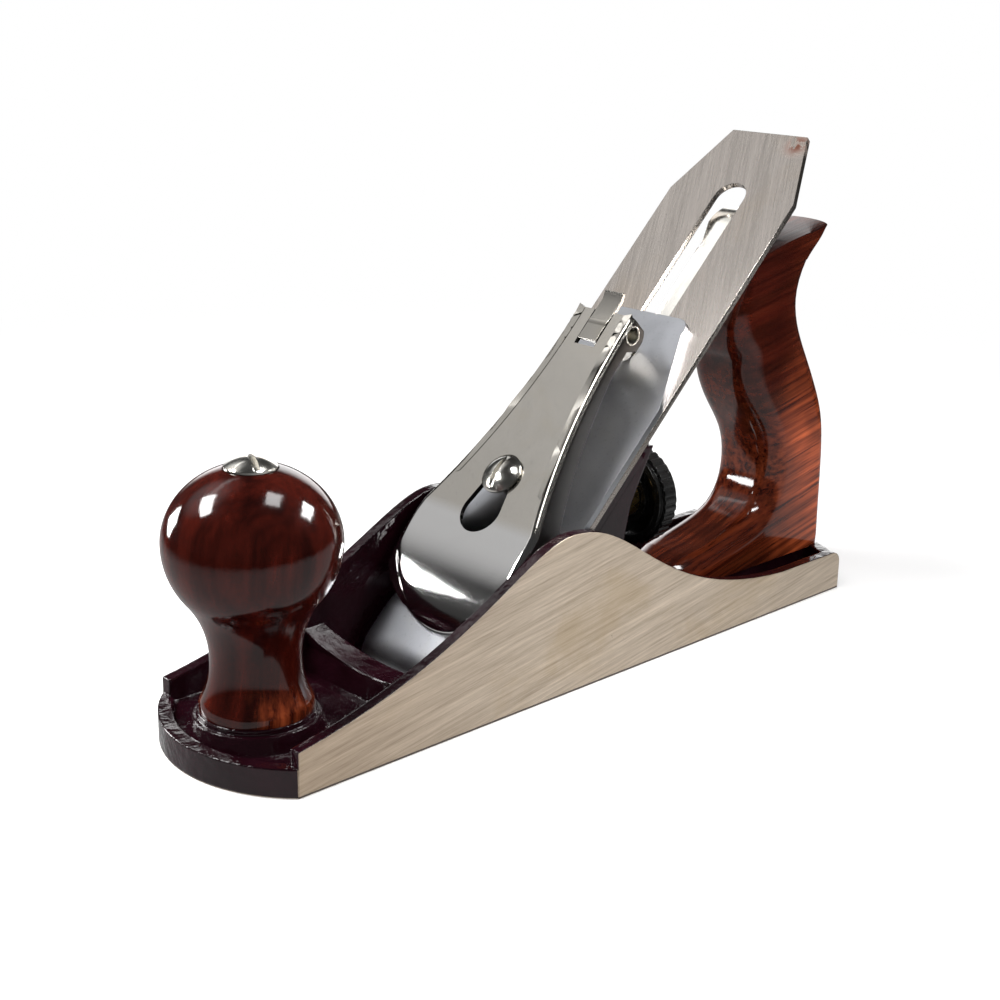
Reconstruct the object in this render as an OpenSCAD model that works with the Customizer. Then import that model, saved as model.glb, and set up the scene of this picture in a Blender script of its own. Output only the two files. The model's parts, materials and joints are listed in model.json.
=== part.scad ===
// Smoothing plane for wood, metal body with hardwood knob and handle.
// X runs from heel to toe, Y to the worker's left, Z up from the sole.

/* [Casting] */
// Toe tip to the back edge of the mouth
toe_reach = 80.5; // [76:0.5:86]
// Thickness of the sole plate
sole_t = 4; // [3:0.5:5]
// Thickness of each cheek
cheek_t = 3.4; // [2.8:0.2:4]
// Gap between the cutting iron and each cheek
cheek_gap = 2.6; // [2.2:0.1:3.4]
// How far the toe tip stands ahead of the cheeks' ends
toe_sag = 13.8; // [10:0.2:16]
// How far the heel tip stands behind the cheeks' ends
heel_sag = 13; // [9:0.5:15]
// Height of the rim round the toe
toe_rim_h = 8; // [6:0.5:10]
// Height of the cheeks at their front ends
toe_corner_h = 12.6; // [11:0.1:16]
// Height of the cheeks at their crest
crest_h = 48.5; // [42:0.5:54]
// Distance of the crest behind the mouth
crest_back = 30.5; // [24:0.5:34]
// Height of the cheeks along the heel
heel_h = 13.3; // [12:0.1:16]
// Thickness of the rims at toe and heel
rim_t = 4; // [3:0.5:5]
// Length of the mouth along the sole
mouth_len = 8.5; // [7.5:0.5:10]
// Height of the bar across the casting ahead of the mouth
bar_h = 10.5; // [9:0.5:13]
// Height of the pads that carry frog and handle, from the sole face
pad_h = 8.5; // [8:0.5:10]

/* [Frog] */
// Angle of the iron to the sole in degrees
bed_angle = 45; // [44:0.5:46]
// Width of the frog across its side webs
frog_w = 44; // [42:0.5:46]
// Length of the bed face, from the mouth along the slope
bed_len = 113; // [111:0.5:116]
// Thickness of the bed plate
bed_t = 5; // [4.5:0.25:5.5]
// Thickness of the frog's foot
foot_t = 6; // [5:0.5:7]
// Thickness of the frog's side webs
web_t = 4.5; // [3.5:0.5:5.5]
// Distance between the two frog screws
frog_screw_gap = 24; // [21:0.5:26]

/* [Cutting iron] */
// Width of the cutting iron
iron_w = 50; // [48:0.5:52]
// Thickness of the cutting iron
iron_t = 2; // [1.8:0.1:2.4]
// Length of the cutting iron
iron_len = 213; // [205:1:220]
// Width of the cutting iron at its top edge
iron_top_w = 30; // [26:1:34]
// Length of the iron's clipped corners
iron_clip = 26; // [20:1:30]
// Width of the slot in the iron
slot_w = 11.8; // [11.8:0.1:12.4]
// Grinding angle of the iron in degrees
bevel_angle = 25; // [23:1:30]
// Height of the cutting edge above the sole face at rest
edge_lift = 0.4; // [0.3:0.1:0.8]

/* [Cap iron] */
// Thickness of the cap iron
cap_t = 2; // [1.8:0.1:2.4]
// Distance of the cap iron's top edge from the mouth, along the slope
cap_top = 137; // [134:1:142]
// Rise of the hump behind the cap iron's front edge
hump_h = 4; // [3:0.5:5]

/* [Lever cap] */
// Thickness of the pressed sheet
sheet_t = 1.6; // [1.4:0.1:2]
// Height of the lever cap's plate over the bed, at its crease
plate_n = 18.4; // [17.6:0.2:20]
// Width of the lever cap at its lower end
lever_cap_w = 50; // [48:0.5:51]
// Width of the lever cap at its top end
lever_cap_top_w = 23.4; // [22:0.2:26]
// Radius of the lever cap's rounded nose, seen from above
nose_r = 27; // [26:1:34]
// Radius of the head of the lever cap screw
cap_screw_head_r = 6.6; // [6.2:0.1:7]
// Width of the cam lever
cam_w = 7.4; // [6.5:0.1:8.5]

/* [Adjusters] */
// Radius of the depth wheel
wheel_r = 16; // [15:0.25:17]
// Thickness of the depth wheel
wheel_t = 8; // [7:0.5:9]
// Height of the depth wheel's axis over the sole face
stud_z = 41; // [40:0.5:42]
// Radius of the adjusting stud
stud_r = 3; // [2.5:0.25:3.5]
// Radius of the disc that steers the iron
disc_r = 5.8; // [5.5:0.05:5.8]
// Width of the lateral lever's strip
lateral_w = 6; // [5:0.5:7]
// Distance of the lateral lever's thumb end from the mouth, along the slope
lateral_top = 189; // [180:1:192]

/* [Front knob] */
// Distance of the knob's axis behind the toe tip
knob_back = 23.4; // [22:0.2:26]
// Radius of the knob's ball
ball_r = 23.6; // [21:0.2:25]
// Height of the ball's centre over the sole face
ball_z = 58.2; // [54:0.2:62]
// Height of the knob's flattened top over the ball's centre
ball_rise = 20.9; // [20:0.1:23]
// Radius of the knob's foot
knob_foot_r = 15.3; // [14:0.1:16.5]
// Radius of the knob's neck at its narrowest
neck_r = 12.2; // [11:0.1:13]
// Height of the top of the casting's knob boss
knob_boss_h = 12; // [10.5:0.5:13]
// Radius of the knob nut's head
knob_nut_r = 7; // [6.5:0.1:7.5]

/* [Handle] */
// Thickness of the handle
tote_w = 27; // [25:0.5:28]
// Distance from the mouth back to the front end of the handle's base
tote_set = 98; // [96:0.5:104]
// Length of the handle's base
tote_len = 77.5; // [75:0.5:80]
// Height of the handle's horn over the sole face
horn_z = 121; // [118:0.5:124]
// Rounding of the handle's edges
tote_round = 3.5; // [3:0.5:5]
// Radius of the handle's rod
rod_r = 3; // [2.5:0.25:3.5]

/* [Hidden] */
$fn = 64;

// Running clearance round pins and studs
run = 0.05;
// Clearance between pieces that seat on each other but move apart
seat = 0.12;
// Clearance between pieces that are screwed together
lie = 0.02;
// Overshoot of cutting shapes
past = 1;

// Overall sizes that follow from the pieces
sole_w = iron_w + 2 * (cheek_gap + cheek_t);
sole_len = toe_reach + tote_set + tote_len;
inner_w = sole_w - 2 * cheek_t;
toe_x = sole_len / 2;
heel_x = -sole_len / 2;
toe_c = toe_x - toe_sag;
heel_c = heel_x + heel_sag;
arc_half = sole_w / 2 - 0.1;
toe_r = (arc_half * arc_half + toe_sag * toe_sag) / (2 * toe_sag);
heel_r = (arc_half * arc_half + heel_sag * heel_sag) / (2 * heel_sag);
mouth_x = toe_x - toe_reach;
crest_x = mouth_x - crest_back;
mouth_w = inner_w - 1;
bar_x = mouth_x + mouth_len + 2;
bar_len = 10;
bar_hollow_r = 83;
front_floor_x = mouth_x + 28;
front_floor_t = 6;

// Places along the slope of the bed
cap_screw_d = 64;
yoke_d = 84;
disc_d = 97;
lateral_d = 108;
iron_screw_d = 122;
yoke_n = -9;
yoke_x = mouth_x - yoke_d * cos(bed_angle) + yoke_n * sin(bed_angle);

// Cutting iron
edge_d = (edge_lift - iron_t * cos(bed_angle)) / sin(bed_angle);
slot_low_d = 50;
slot_top_d = 184.5;

// Frog
foot_back = 61;
foot_x0 = mouth_x - foot_back;
foot_top = pad_h + foot_t;
foot_front = mouth_x - pad_h / tan(bed_angle) - 1;
frog_screw_x = mouth_x - 34;
frog_screw_r = 2.5;
frog_head_r = 4.5;
frog_head_h = 3;
washer_t = 1;
washer_r = 5;
raised_d = 90;
recess_n = -5.6;
raised_n = -9;

// Depth adjuster
groove_w = 4.2;
flange_t = 2.2;
flange_r = 7.5;
groove_r = 5;
hub_r = 6.5;
journal_r = 5;
wheel_back_x = mouth_x - 94;
wheel_front_x = wheel_back_x + wheel_t;
boss_back = yoke_x + groove_w / 2 + flange_t + 3.3;
boss_front = mouth_x - (stud_z + bed_t) / tan(bed_angle);
pad_r = 1.8;
arm_gap = flange_r + 1.6;
arm_t = 2.5;
yoke_bar_r = 3.5;
pin_r = 1.5;
finger_half = 2.2;
finger_w = 5;

// Lateral adjuster
lever_low_n = -5.4;
lever_high_n = -3.7;
lever_step = 2;
step_d = iron_screw_d + 11;
rivet_r = 2;

// Cap iron
cap_low = iron_t;
cap_high = iron_t + cap_t;
cap_edge_d = edge_d + 1.4;
hump_d = cap_edge_d + 9;
hump_end = 28;
cap_full_d = 105;
cap_shoulder_w = 33;
finger_slot_half = 2.75;
finger_slot_w = 8;
screw_head_r = 7.5;
screw_head_h = 3.3;
screw_neck_r = 4.4;

// Lever cap
nose_d = hump_d + 6;
nose_n = cap_high + hump_h - cap_t + seat + 0.1;
crease_d = nose_d + 30;
lever_cap_top_d = 124;
plate_rise = 2.2;
plate_top_n = plate_n + plate_rise;
flange_drop = 11.6;
flange_top_drop = 5.5;
straight_d = 48;
cap_shank_r = 3.2;
screw_deep = 5.6;
keyhole_r = 7.2;
keyhole_d = cap_screw_d - 12.5;
key_slot_r = 4.6;

// Cam
cam_d = lever_cap_top_d - 4;
cam_n = plate_top_n - 4;
cam_eye_r = 4.3;
cam_pin_r = 3;
cam_pin_bore = 2.5;
notch_d = lever_cap_top_d - 12.6;
notch_w = cam_w + 0.8;
ear_r = 5;
tab_d = notch_d + 1.8;
tab_end = lever_cap_top_d + 7;

// Knob
knob_x = toe_x - knob_back;
knob_seat_z = knob_boss_h;
neck_z = knob_seat_z + 14.5;
neck_drop = ball_z - neck_z;
neck_arc_r = (neck_r * neck_r + neck_drop * neck_drop - ball_r * ball_r) / (2 * (ball_r - neck_r));
neck_join = ball_r / (ball_r + neck_arc_r);
nut_seat_z = ball_z + ball_rise - 3.1;
knob_stud_top = nut_seat_z + 1.5;

// Handle
tote_x = mouth_x - tote_set;
tote_back = tote_x - tote_len;
rod_foot_x = tote_back + 16.5;
rod_lean = 10.5;
rod_nut_len = 104;

// Point of a cubic curve with end points p[0], p[3] and pulls p[1], p[2]
function bez(p, t) = (1 - t) * (1 - t) * (1 - t) * p[0] + 3 * (1 - t) * (1 - t) * t * p[1]
    + 3 * (1 - t) * t * t * p[2] + t * t * t * p[3];

// Points of a cubic curve, without its first point
function curve(p, n) = [for (i = [1:n]) bez(p, i / n)];

// Moves to the bed: X runs up the slope, Z stands square to it
module bed() {
    translate([mouth_x, 0, 0]) rotate([0, bed_angle, 0]) rotate([0, 0, 180]) children();
}

// Extrudes an outline drawn in X and Z across Y, centred
module across(w) {
    rotate([90, 0, 0]) linear_extrude(w, center = true) children();
}

// Cylinder across Y, centred
module cross_rod(r, w) {
    rotate([90, 0, 0]) cylinder(r = r, h = w, center = true);
}

// Cylinder along X from x0 to x1 at height z
module long_rod(r, x0, x1, z) {
    translate([x0, 0, z]) rotate([0, 90, 0]) cylinder(r = r, h = x1 - x0);
}

// Outline of the casting from above, drawn in by inset at toe and heel
module sole_outline(inset = 0, w = sole_w) {
    translate([heel_c, -w / 2]) square([toe_c - heel_c, w]);
    intersection() {
        translate([toe_x - toe_r, 0]) circle(toe_r - inset, $fn = 128);
        translate([toe_c - past, -w / 2]) square([toe_sag + 2 * past, w]);
    }
    intersection() {
        translate([heel_x + heel_r, 0]) circle(heel_r - inset, $fn = 128);
        translate([heel_x - past, -w / 2]) square([heel_sag + 2 * past, w]);
    }
}

// Side view of a cheek, from the sole face up
module cheek_outline() {
    tail_x = crest_x - 100;
    front = [[toe_c, toe_corner_h], [crest_x + 39, toe_corner_h + 9.4],
        [crest_x + 17.4, crest_h], [crest_x, crest_h]];
    rear = [[crest_x, crest_h], [crest_x - 28, crest_h],
        [crest_x - 37, heel_h + 3.7], [tail_x, heel_h]];
    round = 4;
    polygon(concat([[toe_c, 0], [toe_c, toe_corner_h]], curve(front, 20), curve(rear, 24),
        [for (a = [90:15:180]) [heel_c + round + round * cos(a), heel_h - round + round * sin(a)]],
        [[heel_c, 0]]));
}

// Rims, walls and pads of the casting, without its holes
module casting_solid() {
    linear_extrude(sole_t) sole_outline();
    linear_extrude(toe_rim_h) difference() {
        sole_outline();
        sole_outline(rim_t, inner_w);
        translate([-toe_x, -sole_w]) square([toe_x + toe_c - 2, 2 * sole_w]);
    }
    linear_extrude(heel_h - 4) difference() {
        sole_outline();
        sole_outline(rim_t, inner_w);
        translate([heel_c + 2, -sole_w]) square([sole_len, 2 * sole_w]);
    }
    for (side = [-1, 1])
        translate([0, side * (sole_w - cheek_t) / 2, 0]) across(cheek_t) cheek_outline();
    // Thicker floor round the knob
    linear_extrude(front_floor_t) difference() {
        sole_outline(rim_t / 2, inner_w + cheek_t);
        translate([-toe_x - past, -sole_w]) square([toe_x + past + front_floor_x, 2 * sole_w]);
    }
    // Boss under the knob, with a sloping foot
    translate([knob_x, 0, sole_t - 0.5])
        cylinder(r1 = knob_foot_r + 4.6, r2 = knob_foot_r + 1.8, h = knob_boss_h - sole_t - 1);
    translate([knob_x, 0, sole_t - 0.5])
        cylinder(r = knob_foot_r + 0.6, h = knob_boss_h - sole_t + 0.5);
    // Bar across the casting ahead of the mouth, hollowed towards the middle
    difference() {
        across(inner_w + cheek_t) polygon([[bar_x, sole_t - 1], [bar_x + bar_len + 3, sole_t - 1],
            [bar_x + bar_len, bar_h], [bar_x + bar_len + 1, bar_h + 11], [bar_x + 4, bar_h + 11]]);
        long_rod(bar_hollow_r, bar_x - past, bar_x + bar_len + 6, bar_h + bar_hollow_r);
    }
    // Seat for the frog
    translate([foot_x0, -frog_w / 2, sole_t - 0.5])
        cube([foot_front - foot_x0, frog_w, pad_h - sole_t + 0.5]);
    // Pad under the handle
    linear_extrude(pad_h) intersection() {
        sole_outline(0.3);
        translate([tote_back, -tote_w / 2 + 0.4]) square([tote_len - 14, tote_w - 0.8]);
    }
    translate([tote_x - 14, 0, sole_t - 0.5])
        cylinder(r = tote_w / 2 - 0.4, h = pad_h - sole_t + 0.5);
}

module plane_body() {
    color([0.13, 0.08, 0.10]) difference() {
        casting_solid();
        // Mouth, its back face in line with the bed
        across(mouth_w) polygon([
            [mouth_x - 0.4 + past / tan(bed_angle), -past],
            [mouth_x + mouth_len, -past],
            [mouth_x + mouth_len, pad_h + past],
            [mouth_x - 0.4 - (pad_h + past) / tan(bed_angle), pad_h + past]]);
        // Heel rim, lowered where the handle stands on it
        translate([heel_x - past, -tote_w / 2 - 0.3, pad_h]) cube([tote_len, tote_w + 0.6, heel_h]);
        // Tapped holes for knob stud, handle rod and frog screws
        translate([knob_x, 0, 1.5]) cylinder(r = stud_r + lie, h = knob_boss_h);
        rod_line() translate([0, 0, -7.5]) cylinder(r = rod_r + lie, h = 20);
        for (side = [-1, 1])
            translate([frog_screw_x, side * frog_screw_gap / 2, 1.5])
                cylinder(r = frog_screw_r + lie, h = pad_h);
    }
}

// Side view of a frog web
module web_outline() {
    run_in = 1 / tan(bed_angle);
    polygon([[foot_front, pad_h], [mouth_x - 65 * run_in, 65], [mouth_x - 73, 65],
        [mouth_x - 67.5, 55], [mouth_x - 64, 48], [mouth_x - 62, 39], [foot_x0, 30],
        [foot_x0, pad_h]]);
}

module frog() {
    color([0.16, 0.10, 0.12]) difference() {
        union() {
            // Bed plate, narrowed towards its top
            bed() translate([0, 0, -bed_t]) linear_extrude(bed_t) polygon([
                [12, -frog_w / 2 - 0.6], [bed_len - 21, -frog_w / 2 - 0.6], [bed_len, -frog_w / 2 + 7],
                [bed_len, frog_w / 2 - 7], [bed_len - 21, frog_w / 2 + 0.6], [12, frog_w / 2 + 0.6]]);
            // Thick part that carries the lateral lever
            bed() translate([raised_d, -12, raised_n]) cube([bed_len - raised_d, 24, 4.5]);
            // Side webs and foot
            for (side = [-1, 1])
                translate([0, side * (frog_w - web_t) / 2, 0]) across(web_t) web_outline();
            translate([foot_x0, -frog_w / 2, pad_h + lie]) cube([46, frog_w, foot_t - lie]);
            // Middle rib and the boss that holds the adjusting stud
            across(6) polygon([[foot_x0 + 32, foot_top - past], [foot_front - 6, foot_top - past],
                [boss_front, stud_z], [boss_back + 2, stud_z], [boss_back + 2, stud_z - 6]]);
            long_rod(stud_r + 4, boss_back, boss_front + 4, stud_z);
            // Boss round the lever cap screw
            bed() translate([cap_screw_d, 0, -screw_deep - 1]) cylinder(r = 6, h = 6);
            // Lugs that hold the yoke's pin
            for (side = [-1, 1])
                bed() translate([yoke_d - 4, side * (arm_gap + arm_t + 2) - 1.5, yoke_n - 3.5])
                    cube([8, 3, -yoke_n + 1]);
        }
        // Everything that stands proud of the bed face
        bed() translate([-past, -sole_w / 2, -seat]) cube([bed_len + 30, sole_w, 30]);
        // Room below the foot
        translate([foot_x0 - past, -sole_w / 2, -past]) cube([80, sole_w, pad_h + past + lie]);
        // Wells and holes of the two frog screws
        for (side = [-1, 1]) translate([frog_screw_x, side * frog_screw_gap / 2, 0]) {
            cylinder(r = frog_screw_r + 0.4, h = foot_top + past);
            translate([0, 0, foot_top]) cylinder(r = washer_r + 0.6, h = 60);
        }
        // Hole of the lever cap screw
        bed() translate([cap_screw_d, 0, -screw_deep - 0.2]) cylinder(r = cap_shank_r + lie, h = 40);
        // Window for the yoke's finger
        bed() translate([yoke_d - 5.6, -4, -8]) cube([11.2, 8, 16]);
        // Recess in which the lateral lever swings
        bed() translate([disc_d - 8.5, -8.5, recess_n]) cube([bed_len, 17, 10]);
        bed() translate([lateral_d, 0, -20]) cylinder(r = rivet_r + lie, h = 30);
        // Holes for the yoke's pin and for the stud
        bed() translate([yoke_d, 0, yoke_n]) cross_rod(pin_r + lie, frog_w - 2 * web_t);
        long_rod(stud_r + lie, boss_back - past, boss_back + 4.6, stud_z);
    }
}

module frog_screws() {
    color([0.62, 0.62, 0.62])
        for (side = [-1, 1]) translate([frog_screw_x, side * frog_screw_gap / 2, 0]) difference() {
            union() {
                translate([0, 0, 2.5]) cylinder(r = frog_screw_r, h = foot_top + washer_t - 2);
                translate([0, 0, foot_top + washer_t + lie]) cylinder(r = frog_head_r, h = frog_head_h);
            }
            translate([-frog_head_r - past, -0.6, foot_top + washer_t + 1.6])
                cube([2 * frog_head_r + 2 * past, 1.2, frog_head_h]);
        }
}

module frog_washers() {
    color([0.7, 0.7, 0.68])
        for (side = [-1, 1]) translate([frog_screw_x, side * frog_screw_gap / 2, foot_top + lie])
            difference() {
                cylinder(r = washer_r, h = washer_t - lie);
                translate([0, 0, -past]) cylinder(r = frog_screw_r + 0.2, h = washer_t + 2 * past);
            }
}

// Forked lever: its finger lifts the cap iron, its pads run in the hub's groove
module yoke() {
    drop = yoke_d * sin(bed_angle) + yoke_n * cos(bed_angle) - stud_z;
    color([0.35, 0.33, 0.32]) difference() {
        union() {
            bed() translate([yoke_d, 0, yoke_n]) cross_rod(yoke_bar_r, 2 * (arm_gap + arm_t));
            bed() translate([yoke_d, 0, yoke_n]) across(finger_w) polygon([
                [-finger_half, 0], [finger_half, 0], [finger_half, cap_high - yoke_n - 1],
                [finger_half - 0.7, cap_high - yoke_n - 0.3],
                [-finger_half + 0.7, cap_high - yoke_n - 0.3], [-finger_half, cap_high - yoke_n - 1]]);
            for (side = [-1, 1]) {
                translate([yoke_x - 2.6, side * (arm_gap + arm_t / 2) - arm_t / 2, stud_z])
                    cube([5.2, arm_t, drop]);
                translate([yoke_x, side * (arm_gap + arm_t / 2), stud_z])
                    cross_rod(3.2, arm_t);
                translate([yoke_x, side * (groove_r + 0.4 + arm_gap + arm_t) / 2, stud_z])
                    cross_rod(pad_r, arm_gap + arm_t - groove_r - 0.4);
            }
        }
        bed() translate([yoke_d, 0, yoke_n]) cross_rod(pin_r + run, frog_w);
    }
}

module yoke_pin() {
    color([0.65, 0.65, 0.66]) bed() translate([yoke_d, 0, yoke_n])
        cross_rod(pin_r, 2 * (arm_gap + arm_t + 3.4));
}

module depth_stud() {
    color([0.66, 0.66, 0.67]) long_rod(stud_r, wheel_back_x - 4, boss_back + 4.4, stud_z);
}

// Threaded hub with the groove that the yoke rides in
module depth_hub() {
    front = yoke_x + groove_w / 2;
    back = yoke_x - groove_w / 2;
    color([0.72, 0.58, 0.30]) difference() {
        union() {
            long_rod(flange_r, front, front + flange_t, stud_z);
            long_rod(groove_r, back, front, stud_z);
            long_rod(flange_r, back - flange_t, back, stud_z);
            long_rod(hub_r, wheel_front_x + seat, back - flange_t, stud_z);
            long_rod(journal_r, wheel_back_x - 0.5, wheel_front_x + seat, stud_z);
        }
        long_rod(stud_r + run, wheel_back_x - 5, front + flange_t + past, stud_z);
    }
}

// Dished wheel with a stepped rim and a ribbed edge
module depth_wheel() {
    groove_count = 36;
    color([0.03, 0.03, 0.03]) difference() {
        union() {
            long_rod(wheel_r, wheel_back_x + 1.5, wheel_front_x - 1.5, stud_z);
            long_rod(wheel_r - 1.4, wheel_back_x, wheel_front_x, stud_z);
        }
        // Dished faces
        long_rod(wheel_r - 3.4, wheel_back_x - past, wheel_back_x + 2, stud_z);
        long_rod(wheel_r - 3.4, wheel_front_x - 2, wheel_front_x + past, stud_z);
        long_rod(journal_r + run, wheel_back_x - past, wheel_front_x + past, stud_z);
        for (i = [0:groove_count - 1])
            translate([wheel_back_x - past, 0, stud_z]) rotate([i * 360 / groove_count, 0, 0])
                translate([0, wheel_r + 0.35, 0]) rotate([0, 90, 0])
                    cylinder(r = 0.8, h = wheel_t + 2 * past, $fn = 16);
    }
    // Hub of the wheel, standing in both dishes
    color([0.03, 0.03, 0.03]) difference() {
        long_rod(journal_r + 3.4, wheel_back_x + 0.6, wheel_front_x - 0.2, stud_z);
        long_rod(journal_r + run, wheel_back_x - past, wheel_front_x + past, stud_z);
    }
}

// Strip behind the iron, joggled past the frog, with a thumb tab at its top
module lateral_lever() {
    thick = lever_high_n - lever_low_n;
    curl = 12;
    end = lateral_top - curl;
    side = concat([[lateral_d + 2, lever_low_n], [step_d, lever_low_n],
        [step_d + 5, lever_low_n + lever_step], [end, lever_low_n + lever_step]],
        [for (a = [10:10:70])
            [end + curl * sin(a), lever_low_n + lever_step - curl + curl * cos(a)]],
        [for (a = [70:-10:0])
            [end + (curl + thick) * sin(a), lever_low_n + lever_step - curl + (curl + thick) * cos(a)]],
        [[step_d + 5, lever_high_n + lever_step], [step_d, lever_high_n],
        [lateral_d + 2, lever_high_n]]);
    color([0.78, 0.78, 0.79]) bed() difference() {
        union() {
            translate([disc_d, 0, lever_low_n]) cylinder(r = 5, h = thick);
            translate([lateral_d, 0, lever_low_n]) cylinder(r = 6, h = thick);
            translate([disc_d, -4.2, lever_low_n]) cube([lateral_d - disc_d, 8.4, thick]);
            intersection() {
                across(20) polygon(side);
                translate([0, 0, -30]) linear_extrude(40) polygon([
                    [lateral_d + 2, -lateral_w / 2 - 1], [lateral_d + 2, lateral_w / 2 + 1],
                    [step_d + 8, lateral_w / 2], [end - 8, lateral_w / 2], [end, 5.5],
                    [lateral_top + 3, 5.5], [lateral_top + 3, -5.5], [end, -5.5],
                    [end - 8, -lateral_w / 2], [step_d + 8, -lateral_w / 2]]);
            }
        }
        translate([lateral_d, 0, -20]) cylinder(r = rivet_r + run, h = 40);
        translate([disc_d, 0, -20]) cylinder(r = 1.5 + lie, h = 40);
    }
}

module lateral_rivet() {
    color([0.7, 0.7, 0.7]) bed() translate([lateral_d, 0, raised_n]) {
        cylinder(r = rivet_r, h = lever_high_n + 0.1 - raised_n);
        translate([0, 0, lever_high_n + seat - raised_n]) cylinder(r = 3.4, h = 1);
        translate([0, 0, lever_high_n + 0.05 - raised_n]) cylinder(r = rivet_r, h = 0.5);
    }
}

module lateral_disc() {
    color([0.7, 0.7, 0.7]) bed() translate([disc_d, 0, lever_low_n]) {
        cylinder(r = 1.5, h = iron_t - 0.4 - lever_low_n);
        translate([0, 0, lever_high_n + lie - lever_low_n])
            cylinder(r = disc_r, h = iron_t - 0.4 - lever_high_n - lie);
    }
}

module cutting_iron() {
    half = iron_w / 2;
    top_d = edge_d + iron_len;
    color([0.74, 0.73, 0.71]) bed() difference() {
        intersection() {
            across(iron_w) polygon([[edge_d, iron_t], [edge_d + iron_t / tan(bevel_angle), 0],
                [top_d, 0], [top_d, iron_t]]);
            translate([0, 0, -past]) linear_extrude(iron_t + 2 * past) polygon([
                [edge_d - past, -half], [top_d - iron_clip, -half], [top_d, -iron_top_w / 2],
                [top_d, iron_top_w / 2], [top_d - iron_clip, half], [edge_d - past, half]]);
        }
        translate([0, 0, -past]) {
            cylinder_slot(slot_low_d, slot_top_d, slot_w / 2, iron_t + 2 * past);
            translate([slot_low_d, 0, 0]) cylinder(r = 9.5, h = iron_t + 2 * past);
        }
    }
}

// Slot with round ends along X from d0 to d1, open upwards by h
module cylinder_slot(d0, d1, r, h) {
    translate([d0, 0, 0]) cylinder(r = r, h = h);
    translate([d1, 0, 0]) cylinder(r = r, h = h);
    translate([d0, -r, 0]) cube([d1 - d0, 2 * r, h]);
}

module cap_iron() {
    half = iron_w / 2;
    sh = cap_shoulder_w / 2;
    rise = cap_high + hump_h - cap_t;
    round = 4;
    top = concat(curve([[cap_edge_d, iron_t + 0.3], [cap_edge_d + 2, rise - 1.4],
        [hump_d - 4, rise], [hump_d, rise]], 8), [[hump_d + 8, rise]],
        curve([[hump_d + 8, rise], [hump_d + 14, rise], [hump_end - 5, cap_high],
        [hump_end, cap_high]], 8));
    under = concat(curve([[hump_end, cap_low], [hump_end - 5, cap_low],
        [hump_d + 13, rise - cap_t], [hump_d + 8, rise - cap_t]], 8),
        [[hump_d, rise - cap_t]], curve([[hump_d, rise - cap_t], [hump_d - 4, rise - cap_t],
        [cap_edge_d + 3.5, rise - cap_t - 0.8], [cap_edge_d + 1.6, iron_t + lie]], 8));
    color([0.70, 0.70, 0.71]) bed() difference() {
        intersection() {
            across(iron_w) polygon(concat([[cap_edge_d, iron_t + lie], [cap_edge_d, iron_t + 0.3]],
                top, [[cap_top, cap_high], [cap_top, cap_low + lie], [hump_end, cap_low + lie]], under));
            linear_extrude(20) polygon(concat(
                [[cap_edge_d - past, half], [cap_full_d, half]],
                [for (a = [-20:22:90])
                    [cap_top - round - 0.5 + round * sin(a), sh - round + round * cos(a)]],
                [for (a = [90:-22:-20])
                    [cap_top - round - 0.5 + round * sin(a), -sh + round - round * cos(a)]],
                [[cap_full_d, -half], [cap_edge_d - past, -half]]));
        }
        cylinder_slot(cap_screw_d - 9, cap_screw_d + 7, 5.5, 20);
        translate([yoke_d - finger_slot_half, -finger_slot_w / 2, 0])
            cube([2 * finger_slot_half, finger_slot_w, 20]);
        translate([iron_screw_d, 0, 0]) cylinder(r = screw_neck_r + run, h = 20);
    }
}

// Screw that clamps the two irons, its head below the cutting iron
module cap_iron_screw() {
    color([0.64, 0.64, 0.65]) bed() translate([iron_screw_d, 0, 0]) difference() {
        union() {
            translate([0, 0, -seat - screw_head_h]) cylinder(r = screw_head_r, h = screw_head_h);
            translate([0, 0, -seat - past]) cylinder(r = screw_neck_r, h = cap_high - 0.2 + seat + past);
        }
        translate([-screw_head_r - past, -0.7, -seat - screw_head_h - past])
            cube([2 * screw_head_r + 2 * past, 1.4, past + 1.3]);
    }
}

// Half width of the lever cap at a place d along the slope
function cap_half(d) = let (t = (lever_cap_top_d - d) / (lever_cap_top_d - straight_d))
    lever_cap_top_w / 2 + (lever_cap_w - lever_cap_top_w) / 2 * pow(max(0, min(1, t)), 2.2);

// Lever cap seen square to the bed, drawn in by inset
module lever_cap_plan(inset = 0) {
    right = [for (d = [straight_d:7.6:lever_cap_top_d + 0.1]) [d, cap_half(d) - inset]];
    left = [for (i = [len(right) - 1:-1:0]) [right[i][0], -right[i][1]]];
    intersection() {
        polygon(concat([[nose_d - past, lever_cap_w / 2 - inset]], right,
            left, [[nose_d - past, -lever_cap_w / 2 + inset]]));
        union() {
            translate([nose_d + nose_r, 0]) circle(nose_r - inset, $fn = 128);
            translate([nose_d + nose_r, -lever_cap_w]) square([200, 2 * lever_cap_w]);
        }
    }
}

// Lever cap from the side: the space under its outer face, drawn in by inset
module lever_cap_side(inset = 0) {
    top = curve([[nose_d - 0.5, nose_n + sheet_t], [nose_d + 5, nose_n + 9],
        [crease_d - 14, plate_n - 0.6], [crease_d, plate_n]], 14);
    polygon(concat([[nose_d - 0.5, nose_n + sheet_t - inset]],
        [for (p = top) p - [0, inset]],
        [[lever_cap_top_d, plate_top_n - inset],
        [lever_cap_top_d, plate_top_n - flange_top_drop - (inset > 0 ? 20 : 0)],
        [lever_cap_top_d - 17, plate_top_n - flange_top_drop - (inset > 0 ? 20 : 0)],
        [crease_d + 22, plate_n - 8.4 - (inset > 0 ? 20 : 0)],
        [crease_d, plate_n - flange_drop - (inset > 0 ? 20 : 0)],
        [nose_d - 0.5, nose_n - (inset > 0 ? 20 : 0)]]));
}

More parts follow.
